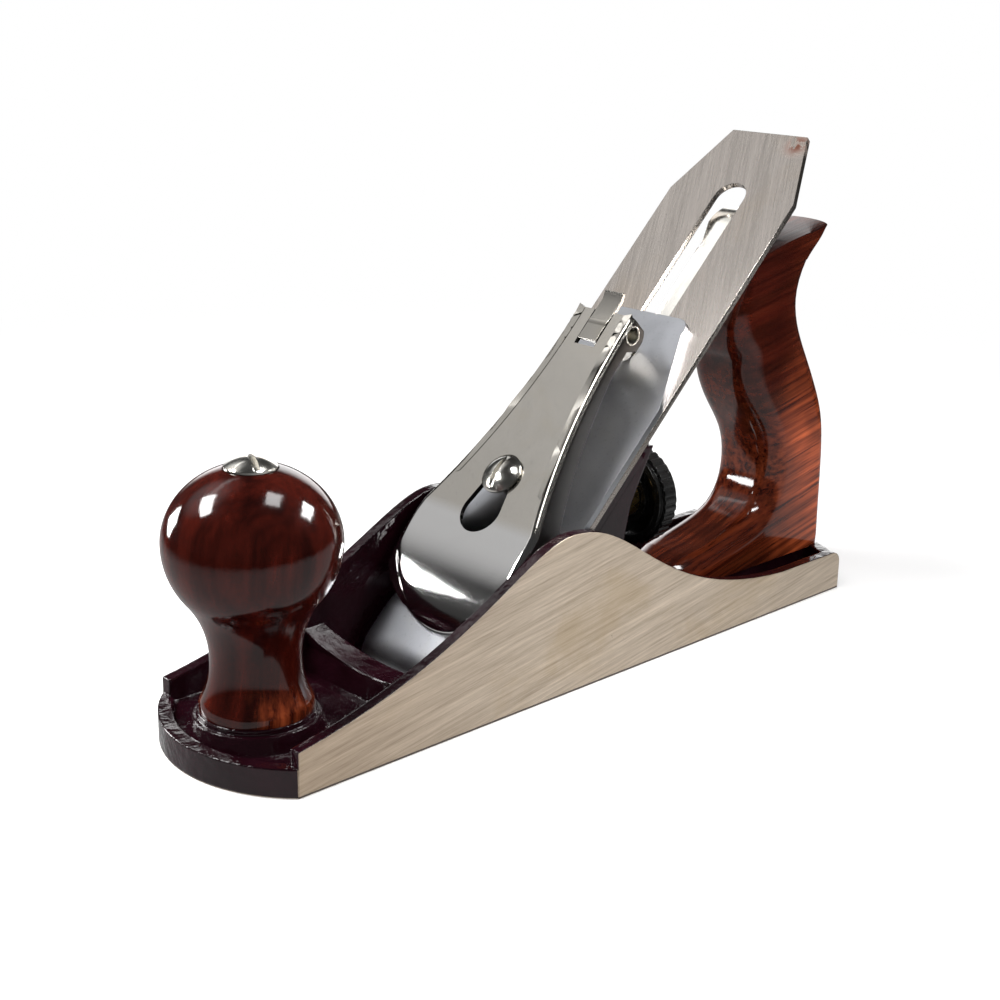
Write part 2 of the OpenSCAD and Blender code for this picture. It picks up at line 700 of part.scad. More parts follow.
module lever_cap() {
    color([0.80, 0.80, 0.80]) bed() difference() {
        union() {
            difference() {
                intersection() {
                    across(2 * lever_cap_w) lever_cap_side();
                    linear_extrude(60) lever_cap_plan();
                }
                intersection() {
                    across(2 * lever_cap_w) lever_cap_side(sheet_t);
                    translate([0, 0, -20]) linear_extrude(80) lever_cap_plan(sheet_t);
                }
            }
            // Ears that hold the pin
            for (side = [-1, 1])
                translate([cam_d, side * (lever_cap_top_w - sheet_t) / 2, cam_n]) intersection() {
                    cross_rod(ear_r, sheet_t);
                    translate([-20, -5, -20]) cube([20 + lever_cap_top_d - cam_d, 10, 22]);
                }
        }
        // Keyhole for the screw
        translate([0, 0, plate_n - 6]) linear_extrude(12) keyhole();
        // Notch for the cam lever
        translate([notch_d, -notch_w / 2, plate_n - 3]) cube([40, notch_w, 10]);
        translate([cam_d, 0, cam_n]) cross_rod(cam_pin_r + lie, 2 * lever_cap_w);
    }
}

module keyhole() {
    translate([keyhole_d, 0]) circle(keyhole_r);
    translate([cap_screw_d, 0]) circle(key_slot_r);
    polygon([[keyhole_d + 1.4, keyhole_r - 0.15], [cap_screw_d + 0.9, key_slot_r - 0.1],
        [cap_screw_d + 0.9, -key_slot_r + 0.1], [keyhole_d + 1.4, -keyhole_r + 0.15]]);
}

// Height of the lever cap's plate over the bed at the screw
function plate_at(d) = plate_n + plate_rise * (d - crease_d) / (lever_cap_top_d - crease_d);

module lever_cap_screw() {
    head_n = plate_at(cap_screw_d) + 0.35;
    dome = 2.6;
    dome_r = (cap_screw_head_r * cap_screw_head_r + dome * dome) / (2 * dome);
    color([0.86, 0.85, 0.82]) bed() translate([cap_screw_d, 0, 0]) difference() {
        union() {
            translate([0, 0, -screw_deep]) cylinder(r = cap_shank_r, h = head_n + screw_deep + 0.5);
            translate([0, 0, head_n]) intersection() {
                cylinder(r = cap_screw_head_r, h = dome + 0.6);
                translate([0, 0, dome + 0.6 - dome_r]) sphere(dome_r, $fn = 96);
            }
        }
        translate([-cap_screw_head_r - past, -0.75, head_n + 1.6])
            rotate([0, 0, 0]) cube([2 * cap_screw_head_r + 2 * past, 1.5, 5]);
    }
}

// Lever whose lobe clamps the lever cap, with a tab that lies in the cap's notch
module cam_lever() {
    reach = cam_n - cap_high - seat;
    tab0 = tab_d - cam_d;
    tab1 = tab_end - cam_d;
    color([0.83, 0.83, 0.83]) bed() translate([cam_d, 0, cam_n]) difference() {
        across(cam_w) union() {
            circle(cam_eye_r);
            translate([0, cam_eye_r - reach]) circle(cam_eye_r);
            translate([-cam_eye_r + 0.3, cam_eye_r - reach])
                square([2 * cam_eye_r - 0.6, reach - cam_eye_r]);
            polygon([[tab0, 2.8], [tab1 - 2.5, 2.8], [tab1, 3.9], [tab1 - 0.4, 5.2],
                [tab1 - 3, 4.1], [tab0, 4.1]]);
        }
        cross_rod(cam_pin_r + run, 2 * cam_w);
    }
}

module cam_pin() {
    long = lever_cap_top_w + 0.2;
    color([0.75, 0.75, 0.75]) bed() translate([cam_d, 0, cam_n]) difference() {
        cross_rod(cam_pin_r, long);
        cross_rod(cam_pin_bore, long + 2 * past);
    }
}

module front_knob() {
    color([0.30, 0.08, 0.05]) translate([knob_x, 0, 0]) difference() {
        rotate_extrude($fn = 96) intersection() {
            union() {
                intersection() {
                    translate([0, ball_z]) circle(ball_r, $fn = 96);
                    translate([0, ball_z - 2 * ball_r]) square([ball_r + past, 2 * ball_r]);
                }
                intersection() {
                    translate([0, ball_z]) scale([1, ball_rise / ball_r]) circle(ball_r, $fn = 96);
                    translate([0, ball_z - 0.01]) square([ball_r + past, 2 * ball_r]);
                }
                difference() {
                    union() {
                        translate([0, knob_seat_z + lie]) square([knob_foot_r, neck_z - knob_seat_z]);
                        translate([0, neck_z]) square([(neck_r + neck_arc_r) * neck_join,
                            neck_drop * (1 - neck_join)]);
                    }
                    translate([neck_r + neck_arc_r, neck_z]) circle(neck_arc_r, $fn = 96);
                }
            }
            translate([0, knob_seat_z + lie]) square([ball_r + 5, 2 * ball_z]);
        }
        translate([0, 0, nut_seat_z]) cylinder(r = knob_nut_r + 0.3, h = 20);
        cylinder(r = stud_r + 0.3, h = 2 * ball_z);
        translate([0, 0, nut_seat_z - 10]) cylinder(r = 5.1, h = 20);
    }
}

module knob_stud() {
    color([0.7, 0.7, 0.7]) translate([knob_x, 0, 2]) cylinder(r = stud_r, h = nut_seat_z - 3);
}

// Slotted nut with a low dome and a sleeve that runs down the stud
module knob_nut() {
    rim = 2.7;
    dome = 2.6;
    dome_r = (knob_nut_r * knob_nut_r + dome * dome) / (2 * dome);
    color([0.84, 0.83, 0.80]) translate([knob_x, 0, nut_seat_z]) difference() {
        union() {
            translate([0, 0, -9]) cylinder(r = 4.8, h = 9.5);
            translate([0, 0, lie]) intersection() {
                cylinder(r = knob_nut_r, h = rim + dome);
                translate([0, 0, rim + dome - dome_r]) sphere(dome_r, $fn = 96);
            }
        }
        translate([0, 0, -10]) cylinder(r = stud_r + lie, h = 10.4);
        rotate([0, 0, 70]) translate([-knob_nut_r - past, -0.8, rim + dome - 2.2])
            cube([2 * knob_nut_r + 2 * past, 1.6, 5]);
    }
}

// Moves to the line of the handle's rod, with Z up along the rod from the casting's pad
module rod_line() {
    translate([rod_foot_x, 0, pad_h]) rotate([0, rod_lean, 0]) children();
}

// Side view of the handle
module tote_outline() {
    x0 = tote_x;
    xb = tote_back;
    base = pad_h + lie;
    polygon(concat(
        [[xb + 0.6, base], [xb + 0.2, base + 4]],
        curve([[xb + 0.2, base + 4], [xb + 0.1, 49.5], [xb - 1.6, 52.9], [xb + 7.6, 70.5]], 10),
        curve([[xb + 7.6, 70.5], [xb + 16.3, 86.3], [xb + 25.6, 95.4], [xb + 16.8, 109.6]], 9),
        curve([[xb + 16.8, 109.6], [xb + 12.6, 115.6], [xb + 8, 117], [xb + 1.2, horn_z + 2.3]], 5),
        [[xb + 19.5, horn_z - 1], [xb + 29.5, horn_z - 2.9], [xb + 40, horn_z - 5.6],
            [xb + 44.5, horn_z - 7]],
        curve([[xb + 44.5, horn_z - 7], [xb + 52, horn_z - 14], [xb + 57, 88], [xb + 47.3, 79.9]], 8),
        curve([[xb + 47.3, 79.9], [xb + 45.8, 60.6], [xb + 29.8, 56.1], [xb + 29.9, 40.2]], 9),
        curve([[xb + 29.9, 40.2], [xb + 30, 25.5], [xb + 40.9, 23.5], [xb + 59.3, 18.9]], 8),
        [[x0 - 11.5, 18], [x0 - 6.5, 17], [x0 - 2.5, 15.9], [x0 - 0.1, 13.5], [x0 - 0.4, base]]));
}

module tote() {
    color([0.36, 0.10, 0.05]) difference() {
        minkowski() {
            across(tote_w - 2 * tote_round) offset(delta = -tote_round) tote_outline();
            sphere(tote_round, $fn = 16);
        }
        translate([tote_back - 10, -tote_w, pad_h + lie - 20]) cube([tote_len + 20, 2 * tote_w, 20]);
        rod_line() translate([0, 0, -20]) cylinder(r = rod_r + 0.4, h = 160);
        rod_line() translate([0, 0, rod_nut_len]) cylinder(r = 6, h = 40);
        rod_line() translate([0, 0, rod_nut_len - 16]) cylinder(r = 4.8, h = 20);
    }
}

module tote_rod() {
    color([0.7, 0.7, 0.7]) rod_line() translate([0, 0, -6.5]) cylinder(r = rod_r, h = rod_nut_len + 4);
}

module tote_nut() {
    color([0.84, 0.83, 0.80]) rod_line() translate([0, 0, rod_nut_len]) difference() {
        union() {
            translate([0, 0, -15]) cylinder(r = 4.5, h = 15.5);
            translate([0, 0, lie]) cylinder(r = 5.7, h = 3);
        }
        translate([0, 0, -16]) cylinder(r = rod_r + lie, h = 16);
        translate([-7, -0.7, 2]) cube([14, 1.4, 5]);
    }
}

plane_body();
frog();
frog_screws();
frog_washers();
yoke();
yoke_pin();
depth_stud();
depth_hub();
depth_wheel();
lateral_lever();
lateral_rivet();
lateral_disc();
cutting_iron();
cap_iron();
cap_iron_screw();
lever_cap();
lever_cap_screw();
cam_lever();
cam_pin();
front_knob();
knob_stud();
knob_nut();
tote();
tote_rod();
tote_nut();
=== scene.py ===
"""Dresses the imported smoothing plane: softened edges, finishes, floor, lamps and camera."""
import json
import math

import bpy
from mathutils import Matrix, Vector


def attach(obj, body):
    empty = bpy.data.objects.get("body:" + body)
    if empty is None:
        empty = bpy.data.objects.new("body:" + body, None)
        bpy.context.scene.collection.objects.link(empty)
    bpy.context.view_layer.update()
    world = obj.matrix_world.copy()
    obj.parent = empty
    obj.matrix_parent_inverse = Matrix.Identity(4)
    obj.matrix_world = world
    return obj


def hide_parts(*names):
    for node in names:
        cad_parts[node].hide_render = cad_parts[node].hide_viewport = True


bl_info = {
    "name": "Smoothing Plane",
    "version": (1, 0, 0),
    "blender": (4, 5, 0),
    "location": "3D View > Sidebar > Plane",
    "description": "Shapes and finishes the visible pieces of a smoothing plane",
    "category": "Object",
}

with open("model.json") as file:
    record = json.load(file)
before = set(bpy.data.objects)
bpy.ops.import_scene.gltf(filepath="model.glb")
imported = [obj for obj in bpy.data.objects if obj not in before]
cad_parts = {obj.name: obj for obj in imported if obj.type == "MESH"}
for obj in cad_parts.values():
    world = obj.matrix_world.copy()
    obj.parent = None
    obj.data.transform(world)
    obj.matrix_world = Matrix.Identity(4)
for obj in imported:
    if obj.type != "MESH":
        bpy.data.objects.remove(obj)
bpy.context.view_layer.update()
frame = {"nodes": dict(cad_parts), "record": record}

MM = 0.001
SLOPE = math.sqrt(0.5)
MOUTH_X = 47.5
# A cut piece with fewer faces than this has lost its body
FEWEST_FACES = 500


# Small helpers

def on_bed(d, y, n):
    """World point d up the slope of the bed, y to the side and n off the bed, given in millimetres."""
    return Vector((MOUTH_X + (n - d) * SLOPE, y, (n + d) * SLOPE)) * MM


def up_bed(point):
    """Place of a point up the slope of the bed, in millimetres."""
    return (point.z - point.x + MOUTH_X * MM) * SLOPE / MM


def cubic(p, count):
    """Points of a cubic curve without its first point."""
    points = []
    for i in range(1, count + 1):
        t = i / count
        s = 1 - t
        weights = (s * s * s, 3 * s * s * t, 3 * s * t * t, t * t * t)
        points.append(tuple(sum(w * q[k] for w, q in zip(weights, p)) for k in (0, 1)))
    return points


def along(table, place):
    """Straight reading between the rows of a table of places and values."""
    if place <= table[0][0]:
        return table[0][1]
    for (x0, y0), (x1, y1) in zip(table, table[1:]):
        if place <= x1:
            return y0 + (y1 - y0) * (place - x0) / (x1 - x0)
    return table[-1][1]


def free():
    """Leaves nothing selected, so that a new primitive stands alone."""
    if bpy.context.object and bpy.context.object.mode != "OBJECT":
        bpy.ops.object.mode_set(mode="OBJECT")
    bpy.ops.object.select_all(action="DESELECT")


def take(piece):
    """Makes one object the only selected and the active one."""
    free()
    piece.select_set(True)
    bpy.context.view_layer.objects.active = piece


def enter(piece, kind="VERT"):
    """Opens a piece in edit mode with nothing selected."""
    take(piece)
    bpy.ops.object.mode_set(mode="EDIT")
    bpy.ops.mesh.select_mode(type=kind)
    bpy.ops.mesh.select_all(action="DESELECT")


def leave():
    bpy.ops.object.mode_set(mode="OBJECT")


def apply_modifier(piece, kind, **settings):
    """Adds a modifier, sets it and applies it."""
    take(piece)
    modifier = piece.modifiers.new(kind.title(), kind)
    for key, value in settings.items():
        setattr(modifier, key, value)
    bpy.ops.object.modifier_apply(modifier=modifier.name)


def copy_of(node, name):
    """A merged copy of a CAD node, with its flat faces joined."""
    mesh = frame["nodes"][node].data.copy()
    mesh.materials.clear()
    piece = bpy.data.objects.new(name, mesh)
    bpy.context.scene.collection.objects.link(piece)
    take(piece)
    if mesh.has_custom_normals:
        bpy.ops.mesh.customdata_custom_splitnormals_clear()
    bpy.ops.object.mode_set(mode="EDIT")
    bpy.ops.mesh.select_all(action="SELECT")
    bpy.ops.mesh.remove_doubles(threshold=0.000002)
    bpy.ops.mesh.dissolve_limited(angle_limit=math.radians(0.4))
    leave()
    return piece


def soften(piece, width, segments=2, angle=32):
    """Rounds every edge that is sharper than angle."""
    apply_modifier(piece, "BEVEL", width=width, segments=segments, limit_method="ANGLE",
        angle_limit=math.radians(angle), use_clamp_overlap=True, miter_outer="MITER_ARC")


def cut(piece, cutters):
    """Cuts bodies out of a piece and removes them."""
    for cutter in cutters:
        apply_modifier(piece, "BOOLEAN", object=cutter, operation="DIFFERENCE", solver="MANIFOLD")
        bpy.data.objects.remove(cutter)
    if len(piece.data.polygons) < FEWEST_FACES:
        raise RuntimeError("the cuts left nothing of " + piece.name)


def border_edges(mesh):
    """The edges with a single face."""
    uses = {}
    for face in mesh.polygons:
        for key in face.edge_keys:
            uses[key] = uses.get(key, 0) + 1
    return [edge for edge in mesh.edges if uses.get(edge.key, 0) == 1]


def body_of(node):
    """Name of the moving body that a CAD node belongs to."""
    bodies = frame["record"]["behaviour"]["bodies"]
    found = [body for body, nodes in bodies.items() if node in nodes]
    if not found:
        raise RuntimeError("no body holds " + node)
    return found[0]


def finish(piece, nodes, material, angle=35):
    """Shades a piece, gives it its finish and lets it stand for its CAD nodes."""
    take(piece)
    bpy.ops.object.shade_smooth_by_angle(angle=math.radians(angle))
    apply_modifier(piece, "WEIGHTED_NORMAL", keep_sharp=True, weight=100)
    piece.data.materials.clear()
    piece.data.materials.append(material)
    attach(piece, body_of(nodes[0]))
    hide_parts(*nodes)


def dress_node(node, material):
    """Gives a CAD node that stays its finish."""
    mesh = frame["nodes"][node].data
    mesh.materials.clear()
    mesh.materials.append(material)


def dress_copy(node, name, material, width, segments=2):
    """Lets a copy with rounded edges stand for a CAD node."""
    piece = copy_of(node, name)
    soften(piece, width, segments)
    finish(piece, [node], material)


# Node helpers

def feed(tree, socket, value):
    if isinstance(value, bpy.types.NodeSocket):
        tree.links.new(value, socket)
    else:
        socket.default_value = value


def add(tree, kind, inputs=None, **settings):
    made = tree.nodes.new(kind)
    for key, value in settings.items():
        setattr(made, key, value)
    for key, value in (inputs or {}).items():
        feed(tree, made.inputs[key], value)
    return made


def calc(tree, operation, a, b=0.0):
    return add(tree, "ShaderNodeMath", {0: a, 1: b}, operation=operation).outputs[0]


def times(tree, a, b):
    return calc(tree, "MULTIPLY", a, b)


def plus(tree, a, b):
    return calc(tree, "ADD", a, b)


def split(tree, vector):
    """The x, y and z of a vector."""
    return add(tree, "ShaderNodeSeparateXYZ", {0: vector}).outputs


def measure(tree, operation, a, b=(0.0, 0.0, 0.0)):
    """A number that comes from two vectors."""
    return add(tree, "ShaderNodeVectorMath", {0: a, 1: b}, operation=operation).outputs["Value"]


def sideways(tree):
    """How much a face looks to the side, from 0 to 1."""
    normal = add(tree, "ShaderNodeNewGeometry").outputs["Normal"]
    return calc(tree, "ABSOLUTE", split(tree, normal)[1])


def blend(tree, factor, a, b, mode="MIX"):
    made = add(tree, "ShaderNodeMix", {0: factor}, data_type="RGBA", blend_type=mode)
    feed(tree, made.inputs[6], a)
    feed(tree, made.inputs[7], b)
    return made.outputs[2]


def between(tree, factor, a, b):
    made = add(tree, "ShaderNodeMix", {0: factor, 2: a, 3: b})
    return made.outputs[0]


def ramp(tree, value, low, high, start=0.0, end=1.0, smooth=False):
    kind = "SMOOTHSTEP" if smooth else "LINEAR"
    made = add(tree, "ShaderNodeMapRange", {"Value": value, "From Min": low, "From Max": high,
        "To Min": start, "To Max": end}, interpolation_type=kind)
    return made.outputs[0]


def noise(tree, vector, scale, detail=3.0, rough=0.5, distortion=0.0):
    made = add(tree, "ShaderNodeTexNoise", {"Vector": vector, "Scale": scale, "Detail": detail,
        "Roughness": rough, "Distortion": distortion})
    return made.outputs["Fac"]


def stretch(tree, vector, scale, turn=(0.0, 0.0, 0.0), shift=(0.0, 0.0, 0.0)):
    made = add(tree, "ShaderNodeMapping", {"Vector": vector, "Scale": scale, "Rotation": turn,
        "Location": shift})
    return made.outputs[0]


def glow(tree, strength, kind="ShaderNodeEmission"):
    """White light of a strength."""
    return add(tree, kind, {"Color": (1.0, 1.0, 1.0, 1.0), "Strength": strength}).outputs[0]


def mix_shaders(tree, factor, a, b):
    return add(tree, "ShaderNodeMixShader", {0: factor, 1: a, 2: b}).outputs[0]


def shade(tint, share):
    """A colour that is darker or lighter by a share."""
    return (*[c * share for c in tint], 1.0)


def new_group(name, inputs, outputs):
    """Node group with named sockets, and the sockets inside it."""
    tree = bpy.data.node_groups.new(name, "ShaderNodeTree")
    for label, kind, value in inputs:
        socket = tree.interface.new_socket(name=label, in_out="INPUT", socket_type=kind)
        if value is not None:
            socket.default_value = value
    for label, kind in outputs:
        tree.interface.new_socket(name=label, in_out="OUTPUT", socket_type=kind)
    return tree, tree.nodes.new("NodeGroupInput").outputs, tree.nodes.new("NodeGroupOutput").inputs


def use(tree, group, **inputs):
    """Places a node group in a material."""
    made = tree.nodes.new("ShaderNodeGroup")
    made.node_tree = bpy.data.node_groups[group]
    for key, value in inputs.items():
        feed(tree, made.inputs[key], value)
    return made.outputs


def patches(tree, place, scale, level, softness):
    """Mask of irregular patches."""
    return use(tree, "Patches", Vector=place, Scale=scale, Level=level, Softness=softness)["Mask"]


def new_material(name, colour):
    """Material with its shader and the place on the piece."""
    material = bpy.data.materials.new(name)
    material.use_nodes = True
    material.diffuse_color = (*colour[:3], 1.0)
    tree = material.node_tree
    place = tree.nodes.new("ShaderNodeTexCoord").outputs["Object"]
    return material, tree, tree.nodes["Principled BSDF"], place


def bump(tree, height, strength, distance, normal=None):
    made = add(tree, "ShaderNodeBump", {"Strength": strength, "Distance": distance, "Height": height})
    if normal is not None:
        feed(tree, made.inputs["Normal"], normal)
    return made.outputs[0]


def fill(tree, shader, colour, rough, normal, metallic=0.0):
    """Sets what every finish sets of its shader."""
    for key, value in (("Base Color", colour), ("Roughness", rough), ("Normal", normal),
            ("Metallic", metallic)):
        feed(tree, shader.inputs[key], value)


# Shared effects

def build_groups():
    """The shared effects: ground lines, patches, cast skin, smudges and wood figure."""
    vector, value = "NodeSocketVector", "NodeSocketFloat"

    tree, given, out = new_group("Ground lines", [("Vector", vector, None), ("Scale", value, 900.0),
        ("Stretch", value, 0.03)], [("Lines", value), ("Bands", value), ("Scratches", value)])
    flat = add(tree, "ShaderNodeCombineXYZ", {0: given["Stretch"], 1: 1.0, 2: 1.0}).outputs[0]
    drawn = add(tree, "ShaderNodeVectorMath", {0: given["Vector"], 1: flat},
        operation="MULTIPLY").outputs[0]
    lines = noise(tree, drawn, given["Scale"], 6.0, 0.7)
    broad = noise(tree, drawn, times(tree, given["Scale"], 0.22), 3.0, 0.55)
    deep = noise(tree, drawn, times(tree, given["Scale"], 0.6), 1.0, 0.4)
    feed(tree, out["Lines"], ramp(tree, lines, 0.3, 0.7))
    feed(tree, out["Bands"], ramp(tree, broad, 0.3, 0.7))
    feed(tree, out["Scratches"], ramp(tree, deep, 0.68, 0.74))

    tree, given, out = new_group("Patches", [("Vector", vector, None), ("Scale", value, 60.0),
        ("Level", value, 0.6), ("Softness", value, 0.08)], [("Mask", value)])
    spots = noise(tree, given["Vector"], given["Scale"], 6.0, 0.62, 0.3)
    top = plus(tree, given["Level"], given["Softness"])
    feed(tree, out["Mask"], ramp(tree, spots, given["Level"], top, smooth=True))

    tree, given, out = new_group("Cast skin", [("Vector", vector, None)], [("Height", value)])
    waves = noise(tree, given["Vector"], 150.0, 3.0, 0.5)
    peel = noise(tree, given["Vector"], 900.0, 3.0, 0.6)
    peel = times(tree, peel, 0.12)
    feed(tree, out["Height"], plus(tree, waves, peel))

    tree, given, out = new_group("Smudges", [("Vector", vector, None), ("Scale", value, 45.0)],
        [("Haze", value), ("Specks", value)])
    haze = noise(tree, given["Vector"], given["Scale"], 5.0, 0.6, 0.6)
    specks = noise(tree, given["Vector"], times(tree, given["Scale"], 26.0),
        2.0, 0.5)
    feed(tree, out["Haze"], ramp(tree, haze, 0.35, 0.7, smooth=True))
    feed(tree, out["Specks"], ramp(tree, specks, 0.6, 0.72, smooth=True))

    tree, given, out = new_group("Wood figure", [("Vector", vector, None), ("Scale", value, 1.0)],
        [("Figure", value), ("Streaks", value), ("Pores", value), ("Blotches", value)])
    size = add(tree, "ShaderNodeVectorMath", {0: given["Vector"], "Scale": given["Scale"]},
        operation="SCALE").outputs[0]
    long_way = stretch(tree, size, (90.0, 90.0, 9.0))
    rings = noise(tree, long_way, 1.0, 4.0, 0.55, 0.9)
    streaks = noise(tree, stretch(tree, size, (520.0, 520.0, 16.0)), 1.0, 4.0, 0.6, 0.3)
    pores = noise(tree, stretch(tree, size, (1500.0, 1500.0, 90.0)), 1.0, 2.0, 0.5)
    blotches = noise(tree, size, 38.0, 2.0, 0.5, 0.4)
    feed(tree, out["Figure"], ramp(tree, rings, 0.32, 0.68, smooth=True))
    feed(tree, out["Streaks"], ramp(tree, streaks, 0.35, 0.65))
    feed(tree, out["Pores"], ramp(tree, pores, 0.6, 0.7))
    feed(tree, out["Blotches"], ramp(tree, blotches, 0.38, 0.62, smooth=True))


# Finishes

# Faces of the casting that lie further out than this, in millimetres, are its ground cheeks
GROUND_Y = 30.75


def casting_finish(name, tints, ground_sides):
    """Glossy dark enamel. On the body casting the cheeks' outer faces and the sole are ground bare."""
    material, tree, shader, place = new_material(name, tints.enamel)
    xyz = split(tree, place)
    skin = use(tree, "Cast skin", Vector=place)["Height"]
    smudge = use(tree, "Smudges", Vector=place, Scale=30.0)
    enamel = blend(tree, smudge["Haze"], (*tints.enamel, 1.0), (*tints.enamel_thin, 1.0))
    rounded = add(tree, "ShaderNodeBevel", {"Radius": 0.0009}, samples=8).outputs[0]
    if not ground_sides:
        bare = patches(tree, place, 210.0, 0.66, 0.03)
        height = calc(tree, "SUBTRACT", skin, times(tree, bare, 0.15))
        fill(tree, shader, enamel, ramp(tree, smudge["Haze"], 0.0, 1.0, 0.1, 0.24),
            bump(tree, height, 0.3, 0.0005, rounded))
        return material
    side = calc(tree, "ABSOLUTE", xyz[1])
    side = calc(tree, "GREATER_THAN", side, GROUND_Y * MM)
    side = times(tree, side, calc(tree, "GREATER_THAN", sideways(tree), 0.6))
    below = calc(tree, "LESS_THAN", xyz[2], 0.12 * MM)
    ground = calc(tree, "MAXIMUM", side, below)
    turned = stretch(tree, place, (1.0, 1.0, 1.0), (0.0, math.radians(-9.0), 0.0))
    lines = use(tree, "Ground lines", Vector=turned, Scale=1500.0, Stretch=0.035)
    wide = use(tree, "Ground lines", Vector=turned, Scale=420.0, Stretch=0.02)
    tone = times(tree, lines["Lines"], 0.6)
    tone = plus(tree, tone, times(tree, wide["Lines"], 0.4))
    iron = blend(tree, tone, (*tints.ground_dark, 1.0), (*tints.ground_light, 1.0))
    stains = patches(tree, place, 26.0, 0.5, 0.2)
    iron = blend(tree, times(tree, stains, 0.35), iron, (0.42, 0.30, 0.15, 1.0))
    specks = patches(tree, place, 420.0, 0.7, 0.04)
    iron = blend(tree, times(tree, specks, 0.6), iron, (0.10, 0.06, 0.035, 1.0))
    toe_end = ramp(tree, xyz[0], 0.03, 0.115, 0.0, 0.5, smooth=True)
    iron = blend(tree, toe_end, iron, blend(tree, 1.0, iron, (0.62, 0.52, 0.42, 1.0), "MULTIPLY"))
    foot = calc(tree, "LESS_THAN", xyz[2], 0.5 * MM)
    iron = blend(tree, times(tree, foot, side), iron, (0.10, 0.08, 0.065, 1.0))
    gloss = ramp(tree, smudge["Haze"], 0.0, 1.0, 0.05, 0.12)
    dull = ramp(tree, tone, 0.0, 1.0, 0.46, 0.34)
    height = between(tree, ground, skin, times(tree, tone, 0.09))
    fill(tree, shader, blend(tree, ground, enamel, iron), between(tree, ground, gloss, dull),
        bump(tree, height, 0.8, 0.0009, rounded), times(tree, ground, 0.6))
    return material


def blade_finish(tints):
    """Brushed tool steel with slanting lines and a rust spot at one top corner."""
    material, tree, shader, place = new_material("Brushed tool steel", tints.blade)
    flat = stretch(tree, place, (1.0, 1.0, 1.0), (0.0, math.radians(-45.0), 0.0))
    drawn = stretch(tree, flat, (1.0, 1.0, 1.0), (0.0, 0.0, math.radians(-22.0)))
    lines = use(tree, "Ground lines", Vector=drawn, Scale=1700.0, Stretch=0.03)
    tone = times(tree, lines["Lines"], 0.7)
    tone = plus(tree, tone, times(tree, lines["Bands"], 0.3))
    steel = blend(tree, tone, shade(tints.blade, 0.82), shade(tints.blade, 1.12))
    warm = patches(tree, place, 32.0, 0.5, 0.2)
    steel = blend(tree, times(tree, warm, 0.18), steel, (0.55, 0.43, 0.30, 1.0))
    corner = on_bed(208.0, 13.0, 2.0)
    near = ramp(tree, measure(tree, "DISTANCE", place, corner), 0.001, 0.007, 1.0, 0.0, smooth=True)
    rust = patches(tree, place, 260.0, 0.42, 0.1)
    rust = times(tree, near, rust)
    specks = patches(tree, place, 330.0, 0.71, 0.03)
    steel = blend(tree, times(tree, specks, 0.5), steel, (0.16, 0.12, 0.09, 1.0))
    steel = blend(tree, rust, steel, (0.13, 0.045, 0.025, 1.0))
    fill(tree, shader, steel, ramp(tree, tone, 0.0, 1.0, 0.3, 0.24),
        bump(tree, tone, 0.05, 0.0001), calc(tree, "SUBTRACT", 1.0, rust))
    shader.inputs["Anisotropic"].default_value = 0.88
    across = add(tree, "ShaderNodeTangent", direction_type="UV_MAP", uv_map="ground_lines")
    feed(tree, shader.inputs["Tangent"], across.outputs[0])
    return material


def lay_lines(piece, turn):
    """Own map of a flat piece on the bed, with U square to its ground lines."""
    layer = piece.data.uv_layers.new(name="ground_lines")
    c, s = math.cos(math.radians(turn)), math.sin(math.radians(turn))
    for loop in piece.data.loops:
        place = piece.data.vertices[loop.vertex_index].co
        d = (place.z - place.x) * SLOPE
        layer.data[loop.index].uv = (10 * (place.y * c + d * s), 10 * (d * c - place.y * s))


def plated_finish(name, tint, rough, speckle, polished_below=None):
    """Plated steel: satin with fine specks, polished to a mirror below a place on the slope. When a
    polished place is given, faces that look to the side are painted dark as shade.
    """
    material, tree, shader, place = new_material(name, tint)
    smudge = use(tree, "Smudges", Vector=place, Scale=40.0)
    tone = times(tree, smudge["Haze"], 0.5)
    tone = plus(tree, tone, times(tree, smudge["Specks"], speckle))
    metal = blend(tree, tone, (*tint, 1.0), shade(tint, 0.8))
    warm = patches(tree, place, 48.0, 0.5, 0.25)
    metal = blend(tree, times(tree, warm, 0.22), metal,
        (tint[0] * 0.95, tint[1] * 0.86, tint[2] * 0.68, 1.0))
    satin = ramp(tree, tone, 0.0, 1.0, rough, rough + 0.1)
    if polished_below is not None:
        xyz = split(tree, place)
        up = calc(tree, "SUBTRACT", xyz[2], xyz[0])
        up = times(tree, plus(tree, up, MOUTH_X * MM), SLOPE)
        polish = ramp(tree, up, polished_below * MM, (polished_below + 5.0) * MM, 1.0, 0.0, smooth=True)
        satin = between(tree, polish, satin, 0.07)
        metal = blend(tree, times(tree, polish, 0.7), metal, (0.86, 0.86, 0.87, 1.0))
        # The flanges' sides get painted shade: a dark, dull colour in place of the dark they reflect
        painted_dark_flank = ramp(tree, sideways(tree), 0.8, 0.95, smooth=True)
        metal = blend(tree, painted_dark_flank, metal, (0.07, 0.065, 0.06, 1.0))
        satin = between(tree, painted_dark_flank, satin, 0.35)
    fine = noise(tree, place, 2400.0, 2.0, 0.6)
    fill(tree, shader, metal, satin, bump(tree, fine, 0.05 + speckle * 0.1, 0.0001), 1.0)
    return material


def turned_finish(name, tint, rough, dirt=0.25):
    """Turned metal of nuts, screws and pins, with dark stains in random patches."""
    material, tree, shader, place = new_material(name, tint)
    smudge = use(tree, "Smudges", Vector=place, Scale=120.0)
    stain = patches(tree, place, 190.0, 0.52, 0.14)
    metal = blend(tree, times(tree, stain, dirt), (*tint, 1.0),
        (tint[0] * 0.42, tint[1] * 0.33, tint[2] * 0.24, 1.0))
    fine = noise(tree, place, 1600.0, 3.0, 0.6)
    fill(tree, shader, metal, ramp(tree, smudge["Haze"], 0.0, 1.0, rough, rough + 0.15),
        bump(tree, fine, 0.06, 0.0001), 1.0)
    return material


